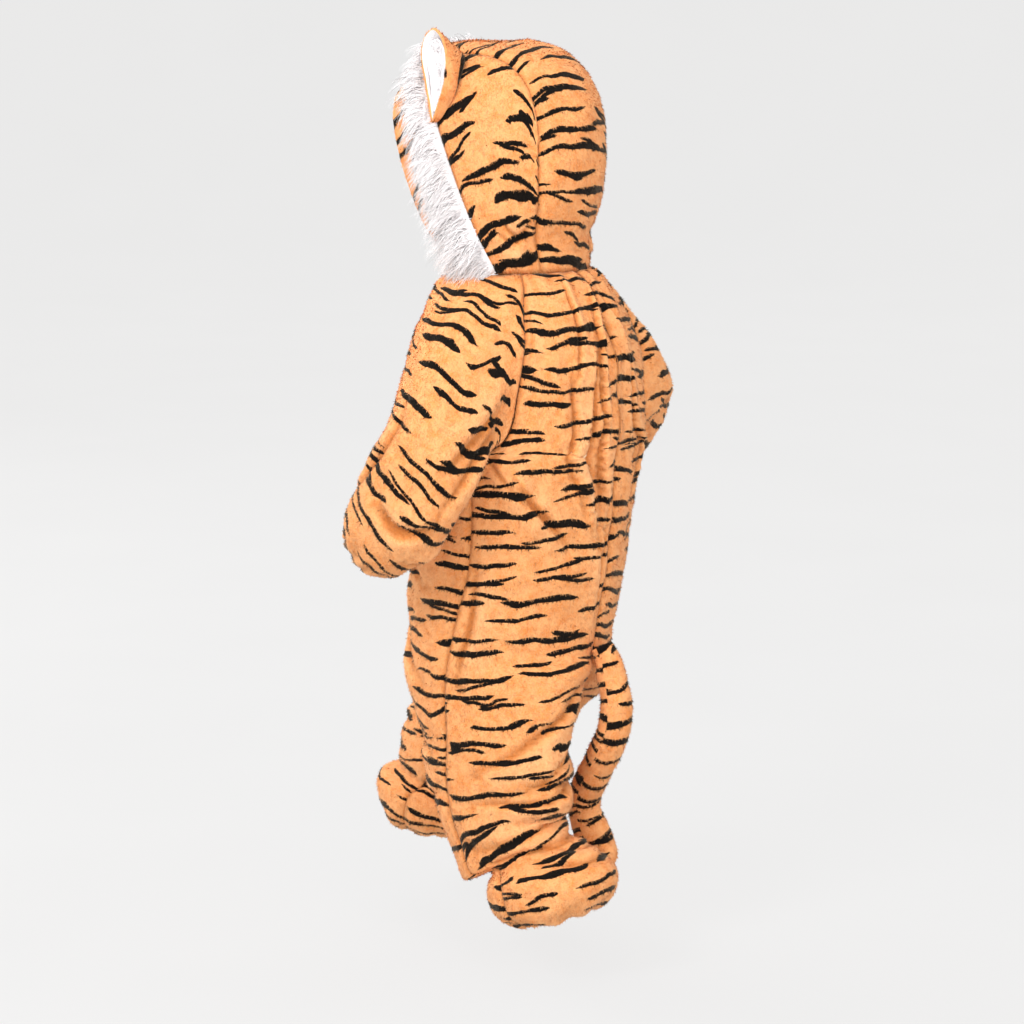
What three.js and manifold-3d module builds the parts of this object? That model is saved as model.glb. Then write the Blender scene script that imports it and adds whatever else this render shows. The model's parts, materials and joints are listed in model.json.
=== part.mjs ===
// Tiger jumpsuit costume, worn by a small child of about 90 cm, in millimetres.
// The wearer faces -Y, the wearer's left is +X and +Z is up.
// The origin is the centre of the neck seam, where the costume hangs on the wearer.
import Module from 'manifold-3d';
import * as THREE from 'three';
import { mergeVertices } from 'three/addons/utils/BufferGeometryUtils.js';

// Driving sizes
const CLOTH = 3; // plush with its short pile
const LINING = 2.4; // plush that lines the ears
const SEAM_INSET = 0.2; // each piece stops this far short of its seam line
const TIGHT_INSET = 0.45; // and this far at the armpits and the crotch
const REST_GAP = 0.5; // between a piece and the one that it is sewn on
const ARMPIT_Z = -176;
const CENTRE_COLUMNS = 10; // columns of a body panel, from its side seam to the centre
const FRONT_OPENING = 3.6; // half the space between the front panels, where the zip shows

// Body sections, from the neck seam down. Half widths are from the centre plane to
// each side, depths are from the section's middle, and seam is the angle of the side
// seam behind the widest point, in degrees.
const TORSO = [
  { z: 0, left: 80, right: 80, back: 68, front: 66, mid: 9, seam: 8 },
  { z: -12, left: 88, right: 90, back: 80, front: 72, mid: 11, seam: 8 },
  { z: -27, left: 97, right: 101, back: 88, front: 79, mid: 12, seam: 8 },
  { z: -45, left: 107, right: 116, back: 96, front: 86, mid: 13, seam: 8 },
  { z: -65, left: 113, right: 129, back: 103, front: 92, mid: 14, seam: 8 },
  { z: -90, left: 117, right: 136, back: 107, front: 97, mid: 14.5, seam: 8 },
  { z: -125, left: 119, right: 139, back: 109, front: 101, mid: 15, seam: 8 },
  { z: -153, left: 121, right: 139, back: 109, front: 104, mid: 15.5, seam: 8 },
  { z: -176, left: 122, right: 133, back: 107, front: 106, mid: 16, seam: 8 },
  { z: -211, left: 121, right: 124, back: 106, front: 108, mid: 15, seam: 8 },
  { z: -252, left: 117, right: 118, back: 105, front: 107, mid: 12, seam: 8 },
  { z: -293, left: 113, right: 114, back: 104, front: 105, mid: 9, seam: 6 },
  { z: -334, left: 111, right: 111, back: 102, front: 104, mid: 3, seam: 2 },
  { z: -376, left: 109, right: 109, back: 98, front: 101, mid: 0, seam: -3 },
];

// Raglan seams, as angles behind or before the widest point of the body section.
const RAGLAN = [
  { z: 0, backLeft: 38, backRight: 42, front: 40 },
  { z: -30, backLeft: 37, backRight: 50, front: 42 },
  { z: -60, backLeft: 37, backRight: 52, front: 42 },
  { z: -100, backLeft: 34, backRight: 51, front: 38 },
  { z: -126, backLeft: 31, backRight: 50, front: 34 },
  { z: -153, backLeft: 28, backRight: 45, front: 25 },
  { z: -166, backLeft: 20, backRight: 30, front: 10 },
  { z: ARMPIT_Z, backLeft: 8, backRight: 8, front: -8 },
];

// Levels of the body's rows above the hips
const TORSO_LEVELS = [
  0, -12, -27, -45, -65, -90, -115, -140, -158, -169, ARMPIT_Z,
  -192, -211, -238, -265, -293, -320, -348, -376,
];

// Seat and leg sections, each a row of the panels. x and half give the section's
// middle and half width, y its middle, deep its half depth. leg is how far the row
// has parted from the body, inner the y of its inner edge behind and before, rise
// how much higher that edge lies than the side seam, and lean its slope in degrees,
// higher behind.
const LEG_COLUMNS = [
  'z', 'x', 'half', 'y', 'back', 'front', 'leg', 'innerBack', 'innerFront', 'rise', 'lean', 'seam',
];
const named = (columns, row) => Object.fromEntries(columns.map((name, i) => [name, row[i]]));
const table = (columns, rows) => rows.map((row) => named(columns, row));
const LEFT_LEG = table(LEG_COLUMNS, [
  [-398, 22, 87, 4, 100, 100, 0.25, 92, -98, 4, 3, -8],
  [-421, 45, 64, 8, 92, 92, 0.6, 74, -84, 10, 5, -12],
  [-444, 53, 56, 12, 87, 87, 0.85, 46, -60, 19, 5, -15],
  [-466, 55, 54, 15, 82, 82, 1, -8, -8, 33, 5, -18],
  [-489, 57, 53, 18, 79, 78, 1, 4, 4, 24, 6, -22],
  [-511, 58, 52, 22, 75, 74, 1, 15, 15, 12, 7, -26],
  [-532, 60, 51, 27, 69, 69, 1, 26, 26, 4, 11, -28],
  [-553, 60, 51, 34, 61, 62, 1, 34, 34, 0, 20, -28],
  [-577, 61, 51, 43, 52, 53, 1, 43, 43, 0, 36, -26],
  [-578, 61, 45, 62, 41, 38, 1, 62, 62, 0, 27, -22],
  [-588, 63, 58, 80, 60, 58, 1, 80, 80, 0, 18, -20],
  [-604, 63, 61, 88, 67, 65, 1, 88, 88, 0, 15, -20],
  [-620, 63, 59, 91, 61, 60, 1, 91, 91, 0, 14, -20],
  [-631, 63, 50, 94, 47, 46, 1, 94, 94, 0, 15, -20],
  [-636, 63, 38, 98, 33, 33, 1, 98, 98, 0, 17, -20],
]);
const RIGHT_LEG = table(LEG_COLUMNS, [
  [-398, 20, 89, -4, 97, 99, 0.25, 92, -98, 4, 0, -4],
  [-421, 40, 69, -14, 92, 92, 0.6, 74, -84, 10, -2, -4],
  [-444, 51, 58, -28, 89, 86, 0.85, 46, -60, 19, -4, -4],
  [-466, 54, 54, -45, 86, 84, 1, -8, -8, 33, -6, -4],
  [-488, 56, 53, -70, 83, 84, 1, -36, -36, 22, -8, -4],
  [-508, 58, 52, -92, 75, 76, 1, -70, -70, 11, -9, -4],
  [-526, 60, 51, -108, 65, 66, 1, -100, -100, 4, -10, -4],
  [-541, 62, 48, -118, 55, 56, 1, -117, -117, 0, -12, -4],
  [-549, 63, 46, -124, 50, 50, 1, -124, -124, 0, -14, -4],
  [-557, 65, 57, -133, 60, 60, 1, -133, -133, 0, -14, -4],
  [-569, 66, 61, -137, 64, 64, 1, -137, -137, 0, -13, -4],
  [-586, 66, 59, -141, 58, 57, 1, -141, -141, 0, -12, -4],
  [-599, 67, 50, -145, 46, 46, 1, -145, -145, 0, -11, -4],
  [-606, 68, 37, -150, 33, 33, 1, -150, -150, 0, -10, -4],
]);
const CROTCH_RISE = 30; // a row whose inner edge rises less than this belongs to one leg
const LEG_FOLD_START = { gain: 2.5, share: 0.15 }; // leg folds grow from the side seam like this
const LEG_FOLD_END = 6; // and die out at the inner edge by this power
const LEG_GATHER = { waves: 7, depth: 2.4, rows: 3 }; // the elastic draws in the last rows

// Sleeve sections from the elbow to the wrist opening: middle, half width sideways,
// half depth across it, and the direction in which the sleeve runs on.
const LEFT_SLEEVE = [
  { x: 166, y: -3, z: -200, side: 36, deep: 54, aimX: 0.05, aimY: -0.6, aimZ: -0.8 },
  { x: 167, y: -15, z: -219, side: 37, deep: 52, aimX: 0, aimY: -0.62, aimZ: -0.78 },
  { x: 167, y: -28, z: -237, side: 37, deep: 50, aimX: 0, aimY: -0.66, aimZ: -0.75 },
  { x: 165, y: -41, z: -249, side: 37, deep: 46, aimX: -0.05, aimY: -0.72, aimZ: -0.7 },
  { x: 162, y: -52, z: -258, side: 35, deep: 41, aimX: -0.08, aimY: -0.77, aimZ: -0.63 },
  { x: 158, y: -61, z: -264, side: 32, deep: 35, aimX: -0.1, aimY: -0.8, aimZ: -0.58 },
  { x: 155, y: -68, z: -268, side: 28, deep: 29, aimX: -0.1, aimY: -0.82, aimZ: -0.56 },
];
const RIGHT_SLEEVE = [
  { x: 176, y: 8, z: -170, side: 37, deep: 50, aimX: 0.1, aimY: -0.82, aimZ: -0.55 },
  { x: 180, y: -8, z: -179, side: 38, deep: 49, aimX: 0.05, aimY: -0.84, aimZ: -0.53 },
  { x: 182, y: -24, z: -187, side: 38, deep: 48, aimX: 0.02, aimY: -0.85, aimZ: -0.52 },
  { x: 182, y: -40, z: -194, side: 38, deep: 46, aimX: 0, aimY: -0.86, aimZ: -0.51 },
  { x: 180, y: -54, z: -201, side: 36, deep: 42, aimX: -0.05, aimY: -0.87, aimZ: -0.5 },
  { x: 178, y: -66, z: -207, side: 33, deep: 37, aimX: -0.05, aimY: -0.87, aimZ: -0.5 },
  { x: 176, y: -75, z: -212, side: 28, deep: 31, aimX: -0.05, aimY: -0.87, aimZ: -0.5 },
];
const SLEEVE_GATHER = { waves: 8, depth: 2.2, rows: 2 };
const HEAD_ROWS = 8; // rows of a sleeve between the raglan seams and its first section
const NECK_ARC_COLUMNS = 6;
const NECK_TURN = 30; // half the part of the section, in degrees, that the neck edge leads to

// How the sleeve head leaves the raglan seams: the direction at the seam, mirrored on
// the right, and the reach of the curve at its start and end.
const LEFT_HEAD = {
  underarm: { aimX: 0.95, aimY: -0.3, aimZ: -0.1, start: 10, end: 8 },
  back: { aimX: 0.85, aimY: -0.35, aimZ: -0.4, start: 38, end: 45 },
  top: { aimX: 0.9, aimY: -0.1, aimZ: -0.35, start: 76, end: 75 },
  front: { aimX: 0.95, aimY: 0.05, aimZ: -0.2, start: 46, end: 40 },
};
const RIGHT_HEAD = {
  underarm: { aimX: 0.95, aimY: -0.2, aimZ: 0, start: 9, end: 8 },
  back: { aimX: 0.88, aimY: 0.26, aimZ: -0.38, start: 70, end: 68 },
  top: { aimX: 0.68, aimY: -0.05, aimZ: -0.7, start: 62, end: 75 },
  front: { aimX: 0.9, aimY: 0.1, aimZ: -0.3, start: 38, end: 34 },
};

const FOLD_RADIUS = 110; // turns an angle round the body into a distance
const FOLD_RUN_OUT = 12; // a fold fades out this far past its ends
const FOLD_SWELL = { start: 0.12, end: 0.92 }; // shares of a half wave over its length
const NECK_CALM = 14; // folds grow from nothing over this height below the neck

// Largest folds of the body. angle is counted from the left side towards the centre
// back at 90, and a fold runs through three points. A positive height is a ridge.
const FOLD_COLUMNS = ['name', 'z1', 'angle1', 'z2', 'angle2', 'z3', 'angle3', 'width', 'height'];
const BODY_FOLDS = table(FOLD_COLUMNS, [
  ['blade fold', -100, 51, -195, 62, -297, 90, 9, 5],
  ['blade trough', -95, 57, -190, 69, -280, 93, 8, -4.5],
  ['nape fold', -4, 88, -100, 75, -265, 91, 7, 4.5],
  ['nape trough', -8, 96, -110, 80, -250, 96, 5, -4],
  ['centre fold', -12, 108, -110, 86, -270, 101, 6, 4],
  ['seam hollow', -35, 44, -90, 42, -150, 36, 7, -4],
  ['underarm fold', -165, 20, -205, 30, -255, 46, 9, 4.5],
  ['underarm trough', -170, 30, -212, 42, -250, 55, 8, -4],
  ['right blade fold', -95, 122, -170, 116, -250, 104, 9, 4],
  ['right side fold', -175, 165, -225, 150, -290, 138, 10, 4.5],
  ['left chest fold', -60, -52, -130, -60, -220, -66, 10, 4.5],
  ['right chest fold', -55, 232, -125, 240, -210, 247, 10, 4.5],
  ['left belly fold', -235, -25, -290, -42, -350, -62, 12, 4],
  ['right belly fold', -230, 207, -285, 222, -350, 243, 12, 4],
]);

// Folds across the legs. z is the level at the fold's middle, turn its place round the
// leg in degrees from the outer side towards the back, and slope its fall towards the back.
const LEFT_LEG_FOLDS = [
  { name: 'seat drape', z: -470, turn: 78, reach: 75, slope: 0.55, width: 12, height: 5 },
  { name: 'calf fold', z: -508, turn: 75, reach: 85, slope: 0.3, width: 9, height: 5 },
  { name: 'calf trough', z: -524, turn: 70, reach: 90, slope: 0.22, width: 8, height: -5 },
  { name: 'knee fold', z: -492, turn: -70, reach: 60, slope: -0.2, width: 10, height: 4 },
  { name: 'shin fold', z: -548, turn: 60, reach: 80, slope: 0.1, width: 8, height: 4.5 },
];
const RIGHT_LEG_FOLDS = [
  { name: 'seat drape', z: -460, turn: 80, reach: 75, slope: 0.5, width: 12, height: 4.5 },
  { name: 'knee fold', z: -478, turn: -60, reach: 70, slope: -0.3, width: 10, height: 4.5 },
  { name: 'knee trough', z: -496, turn: -50, reach: 70, slope: -0.3, width: 9, height: -4 },
  { name: 'calf fold', z: -520, turn: 70, reach: 80, slope: 0.2, width: 9, height: 4.5 },
];

// Hood. Its outer shell is built of level sections up to the temples and a squared
// dome above them.
const HOOD_SECTIONS = [
  { z: 0, half: 80, back: 68, mid: 9 },
  { z: 14, half: 84, back: 65, mid: 8 },
  { z: 33, half: 87, back: 69, mid: 5 },
  { z: 50, half: 90, back: 80, mid: 2 },
  { z: 68, half: 92, back: 91, mid: -1 },
  { z: 95, half: 93, back: 101, mid: -6 },
];
const TEMPLE_Z = 95;
const CROWN_RISE = 125; // from the temples to the top of the crown
const CROWN_POWER = 2.8;
const HOOD_FRONT_DEPTH = 226; // the shell runs nearly straight towards the face
const HOOD_CENTRE = { y: -6, z: 95 }; // the gusset's rows fan out from here
const SHELL_SEARCH = { steps: 40, radius: 220, side: 140 }; // how a point of the shell is found
const BROW_SEARCH = { steps: 12, start: 0.6, reach: 130 }; // and the gusset's end, from a share of half a turn
const GUSSET_WIDTHS = [
  { run: 0, half: 45 },
  { run: 0.18, half: 57 },
  { run: 0.4, half: 61 },
  { run: 0.7, half: 57 },
  { run: 1, half: 50 },
];
const FACE_SEAM = { y: 30, slope: -0.42 }; // the fur seam lies in the plane y + slope * z
const FUR_LIFT = 11; // how far the pile stands off the hood
const FUR_COLUMNS = 5;
const BAND_LIFT = 2;
const BAND_COLUMNS = 3;
const JAW_TILT = 0.3; // below the temples the ring bulges mostly sideways
const BROW_SHARE = 1 / 1.3; // of the ring's rows that lie on the side panel
const FACE_ROWS = 13; // rows of the fur and the front band, from the neck to the brow

// The seam between the fur and the front band, and the rim of the face opening, from
// the neck to the brow on the wearer's left.
const FUR_FRONT = [
  { x: 75, y: -13, z: 0 },
  { x: 81, y: -27, z: 40 },
  { x: 84, y: -42, z: 90 },
  { x: 81, y: -58, z: 140 },
  { x: 66, y: -70, z: 178 },
  { x: 36, y: -77, z: 199 },
  { x: 0, y: -79, z: 205 },
];
const FACE_RIM = [
  { x: 16, y: -55, z: 0 },
  { x: 44, y: -66, z: 26 },
  { x: 62, y: -76, z: 64 },
  { x: 72, y: -86, z: 108 },
  { x: 72, y: -93, z: 145 },
  { x: 57, y: -99, z: 166 },
  { x: 29, y: -103, z: 177 },
  { x: 0, y: -104, z: 180 },
];

// Left ear: points round its base on the hood, as y and z, and round its open rim.
const EAR_BASE = [
  { y: -26, z: 143 },
  { y: -13, z: 160 },
  { y: -8, z: 182 },
  { y: -12, z: 203 },
  { y: -26, z: 208 },
  { y: -39, z: 200 },
  { y: -40, z: 184 },
  { y: -33, z: 160 },
];
const EAR_RIM = [
  { x: 98, y: -28, z: 142 },
  { x: 99, y: -18, z: 165 },
  { x: 97, y: -12, z: 192 },
  { x: 91, y: -17, z: 219 },
  { x: 84, y: -33, z: 233 },
  { x: 79, y: -50, z: 222 },
  { x: 85, y: -49, z: 198 },
  { x: 95, y: -35, z: 165 },
];
const EAR_COLUMNS = 24;
const EAR_WALL_ROWS = [0, 0.3, 0.62, 0.88, 1];
const EAR_DISH_ROWS = [0.87, 0.76, 0.58, 0.35, 0.14];
const EAR_BELLY = 3; // how far the ear's back bulges
const EAR_DISH = 7; // depth of the white hollow
const EAR_DISH_TOP = 0.5; // the lining's edge lies this far below the rim
const EAR_DISH_INSET = 3; // and this far inside the ear's back
const EAR_DISH_CLEAR = 4.2; // from the hood to the lining's face
const EAR_SHELL_TOP = 200; // above this level the hood curves away under the ear
const RIGHT_EAR_DROP = 26; // the hood sits a little lower on this side

// Tail: a stuffed tube, from the centre back seam down. Points of its middle line.
const TAIL_PATH = [
  { x: 0, y: 106, z: -372, radius: 12 },
  { x: 0, y: 114, z: -386, radius: 14 },
  { x: 0, y: 119, z: -404, radius: 15.5 },
  { x: 0, y: 123, z: -434, radius: 17 },
  { x: 0, y: 119, z: -457, radius: 17 },
  { x: -4, y: 105, z: -484, radius: 17 },
  { x: -10, y: 90, z: -507, radius: 17 },
  { x: -16, y: 79, z: -528, radius: 17 },
  { x: -20, y: 75, z: -547, radius: 17.5 },
  { x: -23, y: 79, z: -564, radius: 18.5 },
  { x: -24, y: 87, z: -580, radius: 19 },
  { x: -24, y: 93, z: -594, radius: 17 },
  { x: -24, y: 96, z: -604, radius: 10 },
];
const TAIL_SIDES = 12;
const TAIL_START = { y: 0.92, z: -0.4 }; // the way in which it leaves the seat
const TAIL_TIP = 0.4; // the end bulges by this share of its radius
const TAIL_SINK = 0.45; // the root's end follows the seat, this far outside its wall

// Zip down the centre front
const ZIP = {
  top: -1, bottom: -318, step: 14, chainHalf: 2.4, chainDeep: 2.2,
  tapeGap: 0.3, tapeOuter: 13, tapeDeep: 0.8, middle: 4.4,
};
// The slider in its own frame: depths are behind the outer face of the front panels.
const SLIDER = {
  z: -14, frontHalf: 3, backHalf: 4, tall: 11, frontAt: 1.7, plate: 1.2, backAt: 5.9,
  bridgeHalf: 2.1, bridgeTall: 3, chainGap: 0.4,
};
const BAIL = { half: 0.8, inner: 2.4, outer: 3.8, segments: 24 };
const TAB = {
  half: 2.7, long: 20, deep: 1.2, slotHalf: 1.2, slotTop: 0.6, slotEnd: 4.9, above: 0.9, ahead: 1.2,
};

// Colours
const ORANGE_PLUSH = new THREE.MeshStandardMaterial({ color: 0xf2a564, roughness: 0.95 });
const WHITE_FUR = new THREE.MeshStandardMaterial({ color: 0xf6ecee, roughness: 1 });
const BLACK_TAPE = new THREE.MeshStandardMaterial({ color: 0x1c1a1a, roughness: 0.9 });
const ZIP_METAL = new THREE.MeshStandardMaterial({ color: 0x6d655c, roughness: 0.4, metalness: 0.9 });

const WELD_STEPS = 50; // per millimetre: points that agree this closely are one point
const TINY = 1e-6;
const garment = new THREE.Group();

const radians = (degrees) => (degrees * Math.PI) / 180;
const mix = (a, b, t) => a + (b - a) * t;
const smooth = (t) => t * t * (3 - 2 * t);
const vector = (x, y, z) => new THREE.Vector3(x, y, z);

// Value of one column of a table, on a smooth curve through its rows.
function sample(table, key, value, column) {
  const last = table.length - 1;
  const falling = table[0][key] > table[last][key];
  let i = 0;
  while (i < last - 1 && (falling ? value < table[i + 1][key] : value > table[i + 1][key])) i += 1;
  const at = (k) => table[Math.min(Math.max(k, 0), last)];
  const span = at(i + 1)[key] - at(i)[key];
  const t = Math.min(Math.max((value - at(i)[key]) / span, 0), 1);
  const slope = (a, b) => (b[key] === a[key] ? 0 : (b[column] - a[column]) / (b[key] - a[key]));
  const m0 = (i === 0 ? slope(at(0), at(1)) : slope(at(i - 1), at(i + 1))) * span;
  const m1 = (i === last - 1 ? slope(at(i), at(i + 1)) : slope(at(i), at(i + 2))) * span;
  const t2 = t * t;
  const t3 = t2 * t;
  return (2 * t3 - 3 * t2 + 1) * at(i)[column] + (t3 - 2 * t2 + t) * m0
    + (-2 * t3 + 3 * t2) * at(i + 1)[column] + (t3 - t2) * m1;
}

// Points evenly spaced along a smooth curve through rows with x, y and z.
function curveThrough(rows, closed, divisions) {
  const points = rows.map((row) => vector(row.x, row.y, row.z));
  const curve = new THREE.CatmullRomCurve3(points, closed, 'centripetal');
  const spaced = curve.getSpacedPoints(divisions);
  return closed ? spaced.slice(0, divisions) : spaced;
}

// A patch is a grid of outer points, grid[row][column], whose faces look outwards
// when the columns run to the left of the rows, seen from outside.
const patches = [];

function addPatch(name, grid, options = {}) {
  const patch = {
    name,
    grid,
    turned: false,
    closed: false,
    thickness: CLOTH,
    material: ORANGE_PLUSH,
    flatEdge: null,
    tightRows: [],
    insets: { first: SEAM_INSET, last: SEAM_INSET, start: SEAM_INSET, end: SEAM_INSET },
    ...options,
  };
  patches.push(patch);
  return patch;
}

const weldKey = (p) => [p.x, p.y, p.z].map((value) => Math.round(value * WELD_STEPS)).join();

// Normals shared by all patches of one group, so that walls meet squarely at seams.
function weldNormals(group) {
  const sums = new Map();
  for (const patch of group) {
    eachFace(patch, (a, b, c) => {
      const normal = b.clone().sub(a).cross(c.clone().sub(a));
      for (const p of [a, b, c]) {
        const key = weldKey(p);
        if (!sums.has(key)) sums.set(key, vector(0, 0, 0));
        sums.get(key).add(normal);
      }
    });
  }
  for (const patch of group) {
    patch.normals = patch.grid.map((row) => row.map((p) => sums.get(weldKey(p)).clone().normalize()));
  }
}

function eachFace(patch, visit) {
  const { grid, closed, turned } = patch;
  const rows = grid.length;
  const columns = grid[0].length;
  for (let j = 0; j < rows - 1; j += 1) {
    for (let i = 0; i < (closed ? columns : columns - 1); i += 1) {
      const k = (i + 1) % columns;
      const quad = [grid[j][i], grid[j][k], grid[j + 1][k], grid[j + 1][i]];
      if (turned) quad.reverse();
      visit(quad[0], quad[1], quad[2]);
      visit(quad[0], quad[2], quad[3]);
    }
  }
}

// Moves a border of the grid inwards along the cloth, to leave room at the seam.
function insetBorders(patch) {
  const { grid, closed, insets, tightRows } = patch;
  const rows = grid.length;
  const columns = grid[0].length;
  const moved = grid.map((row) => row.map((p) => p.clone()));
  const pull = (j, i, toJ, toI, distance) => {
    const step = grid[toJ][toI].clone().sub(grid[j][i]);
    if (step.length() > TINY) moved[j][i].add(step.setLength(distance));
  };
  for (let i = 0; i < columns; i += 1) {
    if (insets.first) pull(0, i, 1, i, insets.first);
    if (insets.last) pull(rows - 1, i, rows - 2, i, insets.last);
  }
  if (!closed) {
    for (let j = 0; j < rows; j += 1) {
      const tight = tightRows.includes(j) ? TIGHT_INSET : 0;
      if (insets.start) pull(j, 0, j, 1, Math.max(insets.start, tight));
      if (insets.end) pull(j, columns - 1, j, columns - 2, Math.max(insets.end, tight));
    }
  }
  return moved;
}

// Closes a patch into a wall: outer faces, inner faces and the cut edges between.
function wallMesh(patch) {
  const { closed, turned, thickness, normals, flatEdge } = patch;
  const outer = insetBorders(patch);
  const rows = outer.length;
  const columns = outer[0].length;
  const isFlat = (j, i) => flatEdge && flatEdge.row === j && i >= flatEdge.from && i <= flatEdge.to;
  const depthAt = (j, i) => (typeof thickness === 'function' ? thickness(j, i) : thickness);
  const inner = outer.map((row, j) => row.map((p, i) => {
    const inward = normals[j][i].clone();
    if (isFlat(j, i)) inward.z = 0;
    return p.clone().sub(inward.setLength(depthAt(j, i)));
  }));
  for (const grid of [outer, inner]) {
    grid.forEach((row, j) => row.forEach((p, i) => {
      if (isFlat(j, i)) p.z = flatEdge.z;
    }));
  }
  const positions = [];
  for (const grid of [outer, inner]) {
    for (const p of grid.flat()) {
      if (patch.clear) patch.clear(p);
      positions.push(p.x, p.y, p.z);
    }
  }
  const indices = [];
  const at = (layer, j, i) => layer * rows * columns + j * columns + ((i + columns) % columns);
  const quad = (a, b, c, d, reverse) => {
    if (reverse !== turned) indices.push(a, c, b, a, d, c);
    else indices.push(a, b, c, a, c, d);
  };
  // Neighbours split their shared cut edges the same way: from the higher outer corner.
  const level = (index) => positions[3 * index + 2];
  const border = (a, b, c, d, reverse) => {
    if (level(a) > level(b)) quad(a, b, c, d, reverse);
    else quad(b, c, d, a, reverse);
  };
  const spans = closed ? columns : columns - 1;
  for (let j = 0; j < rows - 1; j += 1) {
    for (let i = 0; i < spans; i += 1) {
      quad(at(0, j, i), at(0, j, i + 1), at(0, j + 1, i + 1), at(0, j + 1, i), false);
      quad(at(1, j, i), at(1, j, i + 1), at(1, j + 1, i + 1), at(1, j + 1, i), true);
    }
  }
  for (let i = 0; i < spans; i += 1) {
    border(at(0, 0, i), at(0, 0, i + 1), at(1, 0, i + 1), at(1, 0, i), true);
    const end = rows - 1;
    border(at(0, end, i), at(0, end, i + 1), at(1, end, i + 1), at(1, end, i), false);
  }
  if (!closed) {
    const end = columns - 1;
    for (let j = 0; j < rows - 1; j += 1) {
      border(at(0, j, 0), at(0, j + 1, 0), at(1, j + 1, 0), at(1, j, 0), false);
      border(at(0, j, end), at(0, j + 1, end), at(1, j + 1, end), at(1, j, end), true);
    }
  }
  return solid(patch.name, positions, indices, patch.material);
}

function solid(name, positions, indices, material) {
  const geometry = new THREE.BufferGeometry();
  geometry.setAttribute('position', new THREE.Float32BufferAttribute(positions, 3));
  geometry.setIndex(indices);
  geometry.computeVertexNormals();
  const mesh = new THREE.Mesh(geometry, material);
  mesh.name = name;
  garment.add(mesh);
  return mesh;
}

// Height of the body's folds at a level and angle. The angle runs round the section.
function foldHeight(z, angle) {
  let height = 0;
  for (const fold of BODY_FOLDS) {
    if (z > fold.z1 + FOLD_RUN_OUT || z < fold.z3 - FOLD_RUN_OUT) continue;
    const along = Math.min(Math.max((fold.z1 - z) / (fold.z1 - fold.z3), 0), 1);
    const bend = (fold.z1 - fold.z2) / (fold.z1 - fold.z3);
    const middle = along < bend
      ? mix(fold.angle1, fold.angle2, along / bend)
      : mix(fold.angle2, fold.angle3, (along - bend) / (1 - bend));
    let turn = angle - middle;
    if (turn > 180) turn -= 360;
    if (turn < -180) turn += 360;
    const away = (radians(turn) * FOLD_RADIUS) / fold.width;
    const swell = Math.sin(Math.PI * mix(FOLD_SWELL.start, FOLD_SWELL.end, along));
    height += fold.height * Math.exp(-away * away) * swell;
  }
  return height;
}

function legFoldHeight(folds, z, turn, y, middleY) {
  let height = 0;
  for (const fold of folds) {
    const round = (turn - fold.turn) / fold.reach;
    if (Math.abs(round) >= 1) continue;
    const level = fold.z - fold.slope * (y - middleY);
    const away = (z - level) / fold.width;
    height += fold.height * Math.exp(-away * away) * Math.cos((Math.PI / 2) * round);
  }
  return height;
}

// Section of the torso at a level: a point at an angle from the widest point, where 90
// is the centre back and -90 the centre front, with its folds.
function torsoPoint(side, z, angle) {
  const half = sample(TORSO, 'z', z, side > 0 ? 'left' : 'right');
  const depth = sample(TORSO, 'z', z, angle > 0 ? 'back' : 'front');
  const mid = sample(TORSO, 'z', z, 'mid');
  const c = Math.cos(radians(angle));
  const s = Math.sin(radians(angle));
  const roundAngle = side > 0 ? angle : 180 - angle;
  const calm = smooth(Math.min(1, -z / NECK_CALM));
  const lift = foldHeight(z, roundAngle) * calm;
  const normal = vector(c / half, s / depth, 0).normalize();
  const x = Math.abs(angle) === 90 ? 0 : half * c + normal.x * lift;
  return vector(side * x, mid + depth * s + normal.y * lift, z);
}

function raglanAngle(side, face, z) {
  if (z <= ARMPIT_Z) return sample(TORSO, 'z', z, 'seam');
  if (face < 0) return -sample(RAGLAN, 'z', z, 'front');
  return sample(RAGLAN, 'z', z, side > 0 ? 'backLeft' : 'backRight');
}

// One row of a seat or leg panel, from the side seam to the inner edge.
function legRow(side, face, row, folds, rowsToHem) {
  const points = [];
  const outerX = row.x + row.half;
  const parted = row.leg === 1 && row.rise < CROTCH_RISE;
  const innerX = parted ? row.x - row.half : 0;
  const depth = face > 0 ? row.back : row.front;
  const innerY = face > 0 ? row.innerBack : row.innerFront;
  const middleX = row.leg === 1 ? (outerX + innerX) / 2 : row.x;
  const share = 1 / (1 + row.leg);
  for (let i = 0; i <= CENTRE_COLUMNS; i += 1) {
    const u = i / CENTRE_COLUMNS;
    let turn;
    let x;
    let y;
    if (u <= share) {
      turn = mix(row.seam, face * 90, u / share);
      const reach = turn > 0 ? row.back : row.front;
      x = middleX + (outerX - middleX) * Math.cos(radians(turn));
      y = row.y + reach * Math.sin(radians(turn));
    } else {
      turn = face * mix(90, 180, (u - share) / (1 - share));
      x = middleX + (middleX - innerX) * Math.cos(radians(turn));
      y = innerY + (row.y + face * depth - innerY) * Math.sin(Math.abs(radians(turn)));
    }
    const slope = Math.tan(radians(row.lean));
    const inner = Math.sin((Math.PI / 2) * u) ** 2;
    const z = row.z + row.rise * inner + slope * (y - row.y) * (row.rise > 0 ? 1 - inner : 1);
    const grown = Math.min(1, u * LEG_FOLD_START.gain + LEG_FOLD_START.share);
    let lift = legFoldHeight(folds, z, turn, y, row.y) * Math.sin((Math.PI / 2) * grown);
    if (rowsToHem < LEG_GATHER.rows) {
      const strength = 1 - rowsToHem / LEG_GATHER.rows;
      lift += LEG_GATHER.depth * strength * Math.cos(radians(turn) * LEG_GATHER.waves);
    }
    lift *= 1 - u ** LEG_FOLD_END;
    const outwards = vector(Math.cos(radians(turn)), Math.sin(radians(turn)), 0);
    points.push(vector(side * (x + outwards.x * lift), y + outwards.y * lift, z));
  }
  return points;
}

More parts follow.
